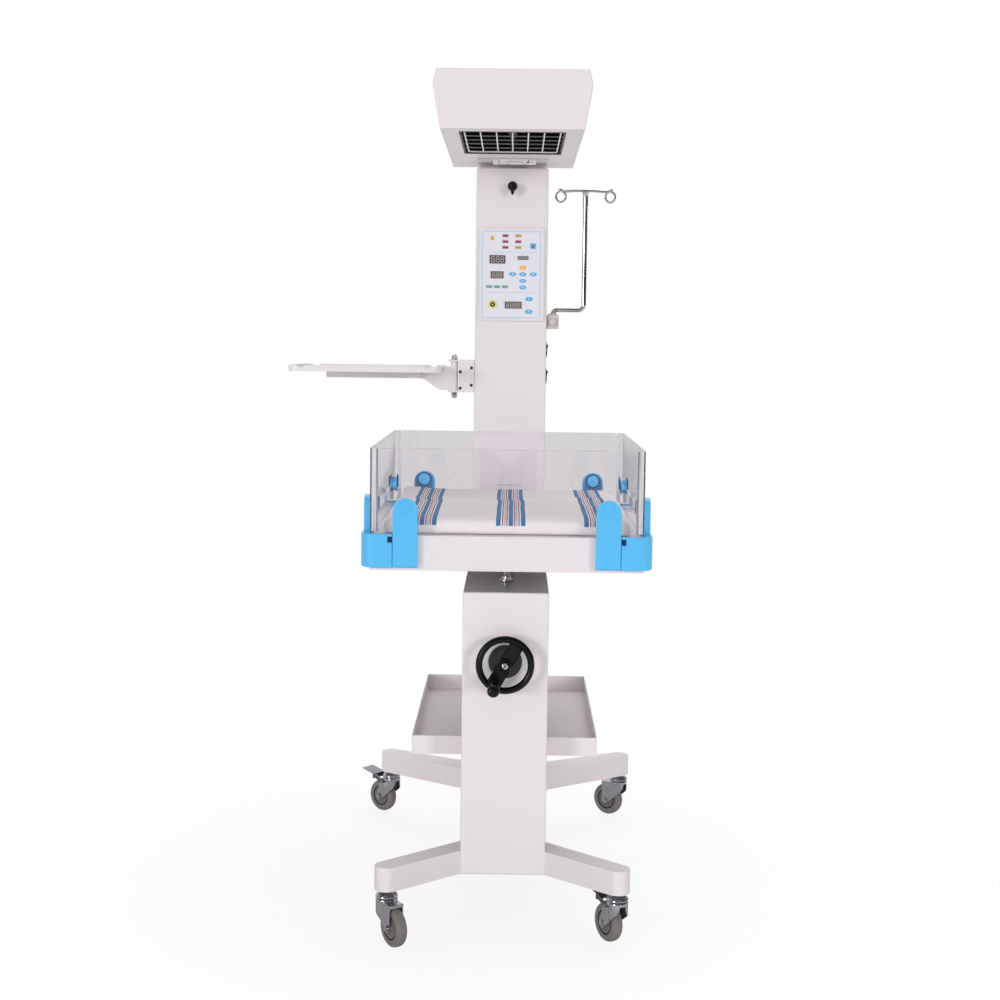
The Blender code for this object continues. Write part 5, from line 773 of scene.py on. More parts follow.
def cross_screws():
    """Low domed screw heads with a cross recess drawn as dark bars for its painted shade, one on each point,
    each turned its own way.
    """
    tree, start, end = growing_tree(
        "cross_screws", Radius=("Float", 0.003), Height=("Float", 0.0014), Facing=("Vector", (0, 0, 1)),
        Seed=("Int", 4), Metal=("Material", None), Recess=("Material", None),
    )
    head = node_of(
        tree, "GeometryNodeMeshCylinder", fill_type="NGON", in_Vertices=20, in_Radius=(start, "Radius"),
        in_Depth=(start, "Height"),
    )
    crown = node_of(
        tree, "GeometryNodeExtrudeMesh", mode="FACES", in_Individual=False, in_Mesh=(head, "Mesh"),
        in_Selection=(head, "Top"),
    )
    feed(crown, Offset_Scale=maths(tree, "MULTIPLY", (start, "Height"), 0.4))
    dome = node_of(
        tree, "GeometryNodeScaleElements", in_Scale=0.72, in_Geometry=(crown, "Mesh"),
        in_Selection=(crown, "Top"),
    )
    metal = node_of(tree, "GeometryNodeSetMaterial", in_Geometry=dome, in_Material=(start, "Metal"))
    joined = node_of(tree, "GeometryNodeJoinGeometry")
    # The cross recess: two dark bars standing for its painted shade.
    for order in (0, 1):
        long, thin = [maths(tree, "MULTIPLY", (start, "Radius"), share) for share in (1.05, 0.26)]
        across, along = (long, thin) if order else (thin, long)
        size = node_of(tree, "ShaderNodeCombineXYZ", in_X=across, in_Y=along, in_Z=(start, "Height"))
        bar = node_of(tree, "GeometryNodeMeshCube", in_Size=size)
        up = node_of(tree, "ShaderNodeCombineXYZ", in_Z=maths(tree, "MULTIPLY", (start, "Height"), 0.44))
        raised = node_of(tree, "GeometryNodeTransform", in_Geometry=bar, in_Translation=up)
        shade_dark = node_of(tree, "GeometryNodeSetMaterial", in_Geometry=raised, in_Material=(start, "Recess"))
        feed(joined, Geometry=shade_dark)
    feed(joined, Geometry=metal)
    spin = node_of(tree, "FunctionNodeRandomValue", data_type="FLOAT", in_3=math.tau, in_Seed=(start, "Seed"))
    about = node_of(tree, "ShaderNodeCombineXYZ", in_Z=(spin, 1))
    faced = node_of(tree, "FunctionNodeAlignRotationToVector", axis="Z", in_Vector=(start, "Facing"))
    turned = node_of(
        tree, "FunctionNodeRotateRotation", rotation_space="LOCAL", in_Rotation=(faced, "Rotation"),
        in_Rotate_By=about,
    )
    sown = node_of(
        tree, "GeometryNodeInstanceOnPoints", in_Points=(start, "Geometry"), in_Instance=joined,
        in_Rotation=(turned, "Rotation"),
    )
    real = node_of(tree, "GeometryNodeRealizeInstances", in_Geometry=(sown, "Instances"))
    feed(end, Geometry=real)
    return tree


def even_wires():
    """Round wires of one length side by side, one on each point."""
    tree, start, end = growing_tree(
        "even_wires", Radius=("Float", 0.0015), Run=(
            "Vector", (0, 0.1, 0),
        ), Sides=("Int", 12), Metal=("Material", None)
    )
    line = node_of(tree, "GeometryNodeCurvePrimitiveLine", in_End=(start, "Run"))
    ring = node_of(
        tree, "GeometryNodeCurvePrimitiveCircle", in_Radius=(start, "Radius"),
        in_Resolution=(start, "Sides"),
    )
    wire = node_of(tree, "GeometryNodeCurveToMesh", in_Fill_Caps=True, in_Curve=line, in_Profile_Curve=ring)
    sown = node_of(
        tree, "GeometryNodeInstanceOnPoints", in_Points=(start, "Geometry"), in_Instance=(wire, "Mesh"),
    )
    real = node_of(tree, "GeometryNodeRealizeInstances", in_Geometry=(sown, "Instances"))
    metal = node_of(tree, "GeometryNodeSetMaterial", in_Geometry=real, in_Material=(start, "Metal"))
    feed(end, Geometry=metal)
    return tree


SCREWS = cross_screws()
WIRES = even_wires()


def grown(name, tree, places, **values):
    """Runs a tree on points given in millimetres, and returns the plain mesh's object."""
    mesh = bpy.data.meshes.new(name)
    mesh.from_pydata([spot(*place) for place in places], [], [])
    piece = added(name, mesh)
    growth = piece.modifiers.new("growth", "NODES")
    growth.node_group = tree
    for item in tree.interface.items_tree:
        if item.in_out == "INPUT" and item.name in values:
            growth[item.identifier] = values[item.name]
    mesh = applied(piece)
    mesh.shade_smooth()
    mesh.set_sharp_from_angle(angle=math.radians(35))
    return piece


def screws(name, places, facing, node, radius=2.8, height=1.2, metal=ZINC):
    """A row of cross-head screws on a node."""
    piece = grown(
        name, SCREWS, places, Radius=radius * MM, Height=height * MM, Facing=facing, Seed=len(places),
        Metal=metal, Recess=DARK,
    )
    rides(piece, node)


# How far the edges of each node are eased, in millimetres
EASED = {"base_frame": 1.6, "bed_deck": 1.0, "storage_tray": 0.7, "rear_cover": 0.5, "tray_bracket": 0.8}
EASED.update({"tray_arm": 1.0, "iv_clamp": 0.8, "control_panel": 0.5, "head_hood": 0.8, "head_base": 0.5})
EASED.update({"swivel_post": 0.6})
EASED.update({side + "_panel": 0.8 for side in ("front", "rear", "left", "right")})
ARMS = ("front_arm_left", "front_arm_right", "left_arm_front", "left_arm_rear")
ARMS += ("right_arm_front", "right_arm_rear", "rear_arm_left", "rear_arm_right")
EASED.update({arm: 0.8 for arm in ARMS})
EASED.update({"corner_block_" + end: 0.6 for end in ENDS})
EASED.update(
    {"lift_column": 0.8, "rear_column": 0.8, "switch_lower": 0.4, "switch_upper": 0.4, "power_inlet": 0.5}
)
EASED.update({"brake_pedal_front_right": 0.5, "brake_pedal_rear_left": 0.5})
for name, width in EASED.items():
    softened(name, width)
for name, node in frame["nodes"].items():
    if name not in EASED:
        node.data.materials.clear()
        node.data.materials.append(finish_of(name))


# Casters

CASTERS = {
    "front_left": (-220.0, -110.0, -56.0, False),
    "front_right": (220.0, -110.0, 120.0, True),
    "rear_left": (-276.0, 746.0, 140.0, True),
    "rear_right": (276.0, 746.0, 143.0, False),
}
AXLE_X, AXLE_Z = 28.0, 37.5
PLATE_STATIONS = (
    (-19, 75), (-18.4, 71), (-17, 67), (-14.5, 62.5), (-11, 58.5), (-7, 54.5), (-3, 51), (1, 47.8), (4, 45.4),
    (7, 43), (10, 40.6), (13, 38.2), (16, 35.9), (18.4, 34), (19.6, 34.4), (21, 31.8), (23.5, 29.7),
    (26, 28.7),
    (28, 28.5), (30.5, 28.9), (33, 30), (35, 31.8), (36.4, 34.2), (37, 37.5),
)


def eased_step(low, high, value):
    """Zero below low, one above high, and a soft turn between."""
    part = min(1.0, max(0.0, (value - low) / (high - low)))
    return part * part * (3 - 2 * part)


def yoke_plate(shape, side, braked):
    """One pressed side of a caster's fork, bulged round the bearing and narrow at the axle."""
    rows = (0, 0.2, 0.4, 0.6, 0.8, 1)
    skins = []
    for wall in (0.0, 2.5):
        skin = []
        for x, low in PLATE_STATIONS:
            top = 83.0
            if braked and x > 22:
                top = 83 - 3 * (x - 22) if x < 31 else 56 - 2.8 * (x - 31)
            column = []
            for row in rows:
                z = low + (top - low) * row
                out = 15.3 + 4.4 * (1 - eased_step(-4, 9, x)) * eased_step(44, 62, z)
                out = min(out, math.sqrt(max(21.0**2 - x * x, 0)) if x < 0 else 99)
                column.append(shape.verts.new((x, side * (out - wall), z)))
            skin.append(column)
        skins.append(skin)
    outer, inner = skins
    last, end = len(PLATE_STATIONS) - 1, len(rows) - 1
    for step in range(last):
        for row in range(end):
            for skin in skins:
                shape.faces.new(
                    (skin[step][row], skin[step + 1][row], skin[step + 1][row + 1], skin[step][row + 1])
                )
        for row in (0, end):
            shape.faces.new((outer[step][row], outer[step + 1][row], inner[step + 1][row], inner[step][row]))
    for row in range(end):
        for step in (0, last):
            shape.faces.new((outer[step][row], outer[step][row + 1], inner[step][row + 1], inner[step][row]))


def fork_piece(name, x, y, heading, braked):
    """A pressed fork: two plates, crown with its lip, two-tier bearing, stem, axle bolt and washers."""
    shape = bmesh.new()
    nose = 22.0 if braked else 36.6
    for side in (-1, 1):
        yoke_plate(shape, side, braked)
        washer = [(0, 0), (7.6, 0), (8.0, 0.4), (7.8, 1.3), (0, 1.3)]
        lathe(shape, washer, (AXLE_X, side * 15.2, AXLE_Z), (0, side, 0), 32)
        prism(shape, hexagon((AXLE_X, AXLE_Z), 6.4, 12), side * 16.4, side * 19.0, "XZ")
        cap = [(0, 0), (5.2, 0), (4.6, 0.7), (0, 0.8)]
        lathe(shape, cap, (AXLE_X, side * 18.9, AXLE_Z), (0, side, 0), 24)
        if not braked:
            dent = [(0, -0.6), (1.5, -0.6), (1.6, 0.06), (2.5, 0.3), (3.0, 0.04), (3.0, -0.5), (0, -0.7)]
            lathe(shape, dent, (30.0, side * 15.3, 76.0), (0, side, 0), 20, [1, 1, 0, 0, 0, 0])
    crown = arc((0, 0), 20.6, 68, 292, 30) + [(11, -15.2), (nose, -15.2), (nose, 15.2), (11, 15.2)]
    prism(shape, crown, 80.6, 83.2, "XY")
    if not braked:
        lip = [(-15.2, 78.6), (-13.6, 76.6), (13.6, 76.6), (15.2, 78.6), (15.2, 83.2), (-15.2, 83.2)]
        prism(shape, lip, nose - 0.2, nose + 1.8, "YZ")
    lower = [(0, 82), (19.8, 82), (21.0, 83.0), (21.3, 85.0), (20.9, 87.0), (19.6, 88.1), (18.6, 88.2)]
    upper = [(18.6, 89.4), (20.6, 89.5), (21.3, 90.2), (21.4, 91.6), (20.9, 93.4), (19.7, 95.2), (18.0, 96.7)]
    upper += [(16.0, 97.7), (14.4, 98.1), (13.2, 98.0), (12.4, 97.3), (11.6, 95.6), (10.4, 94.8), (0, 94.8)]
    marks = [0] * 6 + [1] + [0] * 13
    lathe(shape, lower + upper, (0, 0, 0), UPWARDS, 56, marks)
    prism(shape, hexagon((0, 0), 9.0, 8), 94.6, 99.6, "XY")
    lathe(shape, [(0, 99), (8.6, 99), (8.6, 100.2), (8.0, 100.9), (0, 100.9)], sides=32)
    thread = [(0, 100.5)]
    for turn in range(16):
        thread += [(5.0, 100.6 + turn * 2.0), (4.5, 101.6 + turn * 2.0)]
    lathe(shape, thread + [(0, 132.8)], sides=24)
    lathe(shape, [(0, -16), (4.0, -16), (4.0, 16), (0, 16)], (AXLE_X, 0, AXLE_Z), BACKWARDS, 24)
    if braked:
        pin = [(0, -18.6), (2.2, -18.6), (2.5, -18.2), (2.5, 18.2), (2.2, 18.6), (0, 18.6)]
        lathe(shape, pin, (16.0, 0, 76.8), BACKWARDS, 20)
    node = "caster_fork_" + name
    where = bench((x, y, 0), heading)
    piece_of(node + "_pressed", shape, [ZINC, SHADOW_GREY], node, True, where, 0.5, 42)


def wheel_piece(name, x, y, heading):
    """A grey wheel: round-shouldered tyre, dark seam, flat hub disc and raised boss."""
    half = [
        (4.3, 12.5), (8.2, 12.5), (9.2, 12.2), (9.8, 11.4), (10.4, 10.5), (11.2, 10.2), (16.0, 9.9),
        (20.4, 9.9),
    ]
    half += [(21.0, 9.6), (21.3, 7.0), (23.1, 7.0), (23.4, 9.8), (24.0, 10.5), (26.5, 10.9), (29.5, 11.0)]
    half += [(31.8, 10.7), (33.6, 10.0), (35.2, 8.8), (36.5, 7.1), (37.2, 5.0), (37.5, 2.6), (37.5, 0)]
    marks = [1] * 8 + [2] * 3 + [0] * 10
    profile = half + [(radius, -along) for radius, along in reversed(half[:-1])]
    every = marks + list(reversed(marks)) + [2]
    shape = bmesh.new()
    lathe(shape, profile, (AXLE_X, 0, AXLE_Z), BACKWARDS, 72, every, closed=True)
    node = "caster_wheel_" + name
    where = bench((x, y, 0), heading)
    piece_of(node + "_moulded", shape, [TYRE, HUB, BLACK], node, True, where)


for name, (x, y, heading, braked) in CASTERS.items():
    fork_piece(name, x, y, heading, braked)
    wheel_piece(name, x, y, heading)


# Lift drive and handwheel

WHEEL_MIDDLE = (0, -54, 529)
WHEEL_LEAN = math.radians(60)

def handwheel_piece():
    """Thick round rim, flat spoke with raised sides, ringed hub and the grip's seat and spindle."""
    shape = bmesh.new()
    ring = [(a, -54.0, b) for a, b in circle((0, 529), 50, 96)]
    pipe(shape, ring, 6.6, 24, closed=True)
    section = [
        (-14, -3.4), (-13.2, -4.2), (-11.9, -4.2), (-10.9, -2.9), (10.9, -2.9), (11.9, -4.2), (13.2, -4.2),
    ]
    section += [(14, -3.4), (14, 3.4), (13, 4.2), (-13, 4.2), (-14, 3.4)]
    faces = prism(shape, section, -48.5, 48.5, "XZ")
    cos, sin = math.cos(WHEEL_LEAN), math.sin(WHEEL_LEAN)
    for corner in {corner for face in faces for corner in face.verts}:
        across, along, depth = corner.co
        corner.co = (along * cos + across * sin, -54 + depth, 529 + along * sin - across * cos)
    hub = [(6.3, -12), (13, -12), (13, 7.6), (12.5, 8.3), (11.6, 8.6), (10.4, 8.2), (9.8, 7.4), (9.2, 7.4)]
    hub += [(8.9, 8.0), (8.2, 8.4), (6.6, 8.4), (6.3, 8.0)]
    lathe(shape, hub, WHEEL_MIDDLE, FORWARDS, 48, closed=True)
    seat_x, seat_z = -42 * cos, 529 - 42 * sin
    boss = [(0, 2), (10.8, 2), (10.8, 6.2), (10.2, 6.7), (4.0, 6.7), (4.0, 66.0), (0, 66.0)]
    lathe(shape, boss, (seat_x, -54, seat_z), FORWARDS, 32)
    eye = [(0, 2.7), (1.2, 2.7), (1.5, 3.3), (1.5, 1.0), (0, 1.0)]
    lathe(shape, eye, (seat_x + 13.5, -54, seat_z + 4.5), FORWARDS, 16)
    piece_of("handwheel_moulded", shape, BLACK, "handwheel", True)
    shape = bmesh.new()
    screw = [
        (0, 12.2), (2.3, 12.2), (2.7, 13.9), (4.9, 13.9), (5.7, 13.4), (6.0, 12.6), (6.0, 12.05),
        (0, 12.05),
    ]
    lathe(shape, screw, WHEEL_MIDDLE, FORWARDS, 30, [1, 1, 0, 0, 0, 0, 0])
    piece_of("hub_screw", shape, [BRIGHT_STEEL, SHADOW_GREY], "handwheel_shaft")
    shape = bmesh.new()
    grip = [
        (4.3, 7.1), (9.6, 7.1), (10.4, 7.8), (10.6, 9.4), (10.2, 10.8), (9.0, 11.6), (8.2, 12.6), (8.3, 15),
    ]
    grip += [
        (8.7, 24), (9.3, 36), (10.2, 48), (11.3, 58), (12.0, 65), (12.0, 69.5), (11.3, 73.0), (9.8, 75.6),
    ]
    grip += [(7.4, 77.3), (4.2, 78.0), (0, 78.2)]
    inside = [(0, 66.5), (4.3, 66.5)]
    lathe(shape, grip + inside + [grip[0]], (seat_x, -54, seat_z), FORWARDS, 40)
    piece_of("wheel_grip_moulded", shape, BLACK, "wheel_grip", True)


def bush_pieces():
    """The dark bush behind the wheel and the bright flanged bush round the lift screw."""
    shape = bmesh.new()
    bush = [
        (6.35, 6.0), (11.0, 6.0), (12.4, 5.6), (13.0, 4.6), (15.0, 4.3), (22.5, 3.9), (26.0, 3.2),
        (29.5, 2.0),
    ]
    bush += [(32.0, 1.0), (32.8, 0.5), (32.4, 0.1), (12.9, 0.1), (12.9, -12.7), (6.35, -12.7)]
    lathe(shape, bush, (0, -20.3, 529), FORWARDS, 64, closed=True)
    piece_of("wheel_bush_moulded", shape, SOFT_BLACK, "handwheel_bush", True)
    shape = bmesh.new()
    collar = [
        (6.35, 10.5), (8.2, 10.5), (8.9, 9.9), (9.1, 8.6), (9.1, 5.4), (9.6, 4.8), (12.9, 4.6), (13.9, 4.1),
    ]
    collar += [(14.2, 3.2), (14.2, 0.6), (13.8, 0.1), (8.6, 0.1), (8.6, -9.5), (6.35, -9.5)]
    lathe(shape, collar, (0, 130, 664.3), UPWARDS, 48, closed=True)
    for step in range(3):
        angle = math.radians(-90 + 120 * step)
        place = (11.6 * math.cos(angle), 130 + 11.6 * math.sin(angle), 668.7)
        lathe(shape, [(0, 0.9), (1.2, 0.9), (1.7, 0.3), (1.7, -0.4), (0, -0.4)], place, UPWARDS, 14)
    piece_of("lift_bush_turned", shape, BRIGHT_STEEL, "lift_bush", True)


handwheel_piece()
bush_pieces()


# Mattress

VOXEL = 0.006
FILL_FRAMES = 20
FILL_LIMIT = 0.005

def mattress_shell(low, high, steps_x, steps_y, rounding):
    """A box-shaped shell with round edges and corners, ready for the fill to push it out."""
    shape = bmesh.new()
    bmesh.ops.create_cube(shape, size=2)
    for axis, cuts in enumerate((steps_x, steps_y, 5)):
        across = [edge for edge in shape.edges if abs(edge.verts[0].co[axis] - edge.verts[1].co[axis]) > 1]
        bmesh.ops.subdivide_edges(shape, edges=across, cuts=cuts, use_grid_fill=True)
    middle = (Vector(low) + Vector(high)) / 2
    half = (Vector(high) - Vector(low)) / 2
    for vertex in shape.verts:
        place = Vector([vertex.co[i] * half[i] for i in range(3)])
        inner = Vector([max(-half[i] + rounding, min(half[i] - rounding, place[i])) for i in range(3)])
        away = place - inner
        if away.length > rounding:
            place = inner + away.normalized() * rounding
        vertex.co = middle + place
    return shape


def mattress_piece():
    """The pad: filled by cloth pressure, flat below, with soft folds, a sheet crease and a tucked corner."""
    low, high = (-249.0, 21.0, 771.5), (249.0, 629.0, 796.5)
    shape = mattress_shell(low, high, 82, 100, 7.0)
    bmesh.ops.transform(shape, matrix=bench(), verts=shape.verts)
    pad = added("mattress_cover", mesh_from(shape, "mattress_cover"))
    remesh = pad.modifiers.new("voxels", "REMESH")
    remesh.mode = "VOXEL"
    remesh.voxel_size = VOXEL
    applied(pad)
    start = [vertex.co.copy() for vertex in pad.data.vertices]
    cloth = pad.modifiers.new("fill", "CLOTH")
    values = {"quality": 5, "mass": 0.2, "tension_stiffness": 25, "compression_stiffness": 25}
    values.update({"bending_stiffness": 2.5, "use_pressure": True, "uniform_pressure_force": 4})
    for label, value in values.items():
        setattr(cloth.settings, label, value)
    cloth.settings.effector_weights.gravity = 0
    cloth.collision_settings.use_collision = False
    cloth.collision_settings.use_self_collision = False
    for frame_number in range(1, FILL_FRAMES + 1):
        bpy.context.scene.frame_set(frame_number)
    applied(pad)
    bpy.context.scene.frame_set(1)
    for vertex, before in zip(pad.data.vertices, start):
        moved = vertex.co - before
        if moved.length > FILL_LIMIT:
            vertex.co = before + moved.normalized() * FILL_LIMIT
    finer = pad.modifiers.new("finer", "SUBSURF")
    finer.levels = finer.render_levels = 1
    mesh = applied(pad)
    floor_z, top_z = spot(0, 0, 770.4).z, spot(0, 0, 801.0).z
    highest = spot(0, 0, 809.5).z
    corner_low, corner_high = spot(-253.2, 16.8, 0), spot(253.2, 633.2, 0)
    for vertex in mesh.vertices:
        place = vertex.co
        x, y = (place.x - MIDDLE.x) / MM, (place.y - MIDDLE.y) / MM
        lift = eased_step(floor_z + 0.012, top_z - 0.004, place.z)
        crease = y - 352 - 68 * eased_step(40, 160, x) - 4 * math.sin(x / 40)
        fold = 1.0 * math.exp(-((crease / 7.0) ** 2)) - 1.2 * math.exp(-(((crease + 13) / 8.0) ** 2))
        tuck = 5.5 * math.exp(-(((x + 222) / 26) ** 2) - (((y - 606) / 20) ** 2))
        raise_by = 2.6 + 5.0 * min(max(y / 500, 0), 1) + tuck
        broad = 1.3 * noise.noise(Vector((x / 130, y / 90, 3.1)))
        broad += 0.55 * noise.noise(Vector((x / 40, y / 70, 8.7)))
        reach = math.hypot(max(abs(x) - 170, 0) / 80, max(abs(y - 325) - 220, 0) / 80)
        pucker = noise.noise(Vector((x / 11, y / 26, 1.7))) * 0.5 * min(reach, 1.2)
        place.z += (fold + broad + pucker + raise_by) * MM * lift - 0.0012 * lift
        side = 1 - eased_step(floor_z + 0.001, floor_z + 0.008, abs(place.z - (floor_z + 0.014)))
        ripple = noise.noise(Vector((x / 23, y / 23, place.z * 90))) * 0.8 * MM
        out = Vector((x / 253, (y - 325) / 308, 0))
        if max(abs(out.x), abs(out.y)) > 0.96:
            place += out.normalized() * ripple * side
        place.x = min(max(place.x, corner_low.x), corner_high.x)
        place.y = min(max(place.y, corner_low.y), corner_high.y)
        place.z = min(max(place.z, floor_z), highest)
    mesh.shade_smooth()
    mesh.materials.append(COTTON)
    rides(pad, "mattress", True)


mattress_piece()


# Control panel

PANEL_X, PANEL_Z, PANEL_FACE = 0.0, 1302.0, 680.7
INK = {
    "face": (0.78, 0.765, 0.83, 1),
    "line": (0.40, 0.58, 0.84, 1),
    "display": (0.075, 0.060, 0.062, 1),
    "segment": (0.42, 0.38, 0.38, 1),
    "red": (0.38, 0.045, 0.07, 1),
    "yellow": (0.52, 0.39, 0.09, 1),
    "green": (0.14, 0.40, 0.33, 1),
    "orange": (0.92, 0.44, 0.06, 1),
    "key": (0.11, 0.44, 0.80, 1),
    "amber": (0.93, 0.55, 0.03, 1),
    "white": (0.82, 0.82, 0.84, 1),
    "black": (0.015, 0.015, 0.016, 1),
    "gold": (0.78, 0.72, 0.22, 1),
    "frame": (0.30, 0.29, 0.31, 1),
}
INKS = {name: printed("panel_" + name, tone) for name, tone in INK.items()}
MARK = {name: order for order, name in enumerate(INK)}


def panel_outline(points):
    """Points drawn from the panel's middle, moved onto the column."""
    return [(PANEL_X + u, PANEL_Z + v) for u, v in points]


def raised(shape, points, proud, ink, dome=0.0):
    """A key, lamp or printed mark proud of the panel's face, with a chamfered edge if it is a dome."""
    outline = panel_outline(points)
    low, high = PANEL_FACE + 0.02, PANEL_FACE - proud
    if not dome:
        prism(shape, outline, high, low, "XZ", MARK[ink])
        return
    middle = Vector((sum(a for a, _ in outline), sum(b for _, b in outline))) / len(outline)
    rings = []
    for depth, share in ((low, 1.0), (PANEL_FACE - proud * 0.55, 1.0), (high, 1 - dome)):
        ring = [middle + (Vector(point) - middle) * share for point in outline]
        rings.append([shape.verts.new((a, depth, b)) for a, b in ring])
    for near, far in zip(rings, rings[1:]):
        for step in range(len(outline)):
            after = (step + 1) % len(outline)
            shape.faces.new((near[step], near[after], far[after], far[step])).material_index = MARK[ink]
    for ring in (rings[0], rings[-1]):
        shape.faces.new(ring).material_index = MARK[ink]


def box_at(u, v, width, height, radius=0.6):
    """A round-cornered rectangle about a place on the panel."""
    return rounded((u - width / 2, v - height / 2), (u + width / 2, v + height / 2), radius, 4)


def stroke(a, b, width):
    """One segment of a digit: a bar with pointed ends."""
    start, end = Vector(a), Vector(b)
    along = (end - start).normalized()
    across = Vector((-along.y, along.x)) * width / 2
    tip = along * width / 2
    return [start, start + tip + across, end - tip + across, end, end - tip - across, start + tip - across]


def window(shape, u, v, width, height):
    """A dark window with its frame."""
    outer, inner = [
        panel_outline(box_at(u, v, width - rim, height - rim, r)) for rim, r in ((0, 0.8), (1.8, 0.5))
    ]
    rim_band(shape, outer, inner, PANEL_FACE - 0.9, PANEL_FACE + 0.02, "XZ", MARK["frame"])
    raised(shape, box_at(u, v, width - 1.8, height - 1.8, 0.5), 0.42, "display")


def display(shape, u, v, width, height, digits):
    """A window with unlit seven-segment digits."""
    window(shape, u, v, width, height)
    pitch = (width - 5.0) / digits
    tall, wide, thick = height * 0.62, min(pitch * 0.58, height * 0.36), 1.75
    for order in range(digits):
        x = u - (width - 5.0) / 2 + pitch * (order + 0.5)
        lean = 0.08 * tall / 2
        left, right, top, low = x - wide / 2, x + wide / 2, v + tall / 2, v - tall / 2
        corners = {
            "tl": (left + lean, top), "tr": (right + lean, top), "ml": (left, v), "mr": (right, v),
            "bl": (left - lean, low), "br": (right - lean, low),
        }
        for a, b in (
            ("tl", "tr"), ("ml", "mr"), ("bl", "br"), ("tl", "ml"), ("tr", "mr"), ("ml", "bl"),
            ("mr", "br"),
        ):
            raised(shape, stroke(corners[a], corners[b], thick), 0.46, "segment")
        dot = oval((right - lean + 1.6, low), 1.2, 1.2, 10)
        raised(shape, dot, 0.46, "segment")


def overlay():
    """The printed keypad: face, border line, lamps, windows, keys and the probe socket."""
    shape = bmesh.new()
    raised(shape, rounded((-69.8, -101.0), (69.8, 101.0), 4.5), 0.12, "face")
    edge, within = rounded((-68.2, -100.1), (67.4, 100.1), 5.0), rounded((-66.6, -98.5), (65.8, 98.5), 3.6)
    outlines = panel_outline(edge), panel_outline(within)
    rim_band(shape, *outlines, PANEL_FACE - 0.2, PANEL_FACE, "XZ", MARK["line"])
    for v in (51.8, -41.3):
        raised(shape, square((-59.5, v - 0.5), (56.4, v + 0.5)), 0.2, "line")
    lamps = [(-14.9, 89.4, "red"), (-14.9, 75.9, "red"), (-14.9, 62.5, "red"), (14.9, 89.4, "yellow")]
    lamps += [(14.9, 75.9, "red"), (14.9, 62.5, "yellow"), (-51.7, -28, "green"), (-33.4, -28, "green")]
    lamps += [(-14.9, -28, "green")]
    for u, v, ink in lamps:
        raised(shape, box_at(u, v, 14.1, 6.3, 1.2), 0.25, "frame")
        raised(shape, box_at(u, v, 13.0, 5.2, 0.8), 0.75, ink, 0.1)
    raised(shape, [(-52.0, 78.6), (-38.8, 78.6), (-45.4, 91.0)], 0.3, "amber")
    raised(shape, [(-46.1, 82.4), (-44.7, 82.4), (-44.4, 87.6), (-46.4, 87.6)], 0.38, "black")
    raised(shape, oval((-45.4, 80.6), 1.5, 1.5, 12), 0.38, "black")
    raised(shape, box_at(49.4, 66, 15.0, 14.5, 1.6), 0.25, "white")
    raised(shape, box_at(49.4, 66, 13.6, 13.1, 1.4), 0.6, "key", 0.06)
    bell = [
        (45.8, 62.2), (53.0, 62.2), (51.6, 64.0), (51.4, 67.2), (50.2, 69.3), (48.6, 69.3), (47.4, 67.2),
        (47.2, 64.0),
    ]
    raised(shape, bell, 0.66, "red")
    raised(shape, oval((49.4, 61.4), 2.0, 1.4, 12), 0.66, "red")
    display(shape, -32.9, 34.9, 37.6, 20.0, 3)
    display(shape, -33.2, -0.7, 30.6, 16.9, 3)
    display(shape, 5.2, -70.2, 40.0, 16.6, 4)
    window(shape, 26.5, 38.7, 25.9, 8.9)
    for step in range(9):
        u = 16.3 + step * 2.55
        raised(shape, square((u - 0.75, 36.7), (u + 0.75, 40.7)), 0.48, "segment")
    keys = [(26.5, 16.2, 17, 9.5, "orange"), (2.7, 1.2, 17, 9.5, "key"), (26.5, 1.2, 17, 9.5, "key")]
    keys += [(50.6, 1.2, 17, 9.5, "key"), (26.5, -14.2, 17, 9.5, "key"), (26.5, -29.2, 17, 9.5, "key")]
    keys += [(41.8, -55.9, 18.5, 10.4, "key"), (41.5, -85.1, 18.5, 10.4, "key")]
    for u, v, width, height, ink in keys:
        raised(shape, oval((u, v), width + 1.2, height + 1.2), 0.22, "white")
        raised(shape, oval((u, v), width, height), 0.8, ink, 0.14)
    for u, v, tip in ((2.7, 1.2, 1), (50.6, 1.2, -1)):
        raised(shape, [(u - 2.6, v - 1.7 * tip), (u + 2.6, v - 1.7 * tip), (u, v + 2.4 * tip)], 0.9, "white")
    for v in (16.2, 1.2, -14.2, -29.2):
        raised(shape, box_at(26.5, v, 6.2, 1.3, 0.3), 0.9, "white")
    for v, tip in ((-55.9, 1), (-85.1, -1)):
        raised(shape, [(39.6, v - 1.6 * tip), (44.0, v - 1.6 * tip), (41.8, v + 2.2 * tip)], 0.9, "white")
    for v in (38.7, -3.0):
        for u in (8.0, 45.0):
            raised(shape, box_at(u, v if v > 0 else 38.7, 5.0, 1.2, 0.3), 0.2, "line")
    socket = [(10.4, 0), (10.4, 0.9), (9.6, 1.4), (8.0, 1.6), (6.0, 1.6), (5.6, 1.2), (5.4, 0.2), (0, 0.2)]
    marks = ["gold"] * 4 + ["black"] * 3
    place = (PANEL_X - 43.1, PANEL_FACE, PANEL_Z - 69.1)
    lathe(shape, [(0, -0.7)] + socket, place, FORWARDS, 40, [MARK["gold"]] + [MARK[m] for m in marks])
    lathe(shape, [(0, 0.1), (2.1, 0.1), (2.1, 0.9), (1.4, 1.2), (0, 0.8)], place, FORWARDS, 20, MARK["gold"])
    piece_of("panel_overlay", shape, [INKS[name] for name in INK], "control_panel")


overlay()


# Head underside


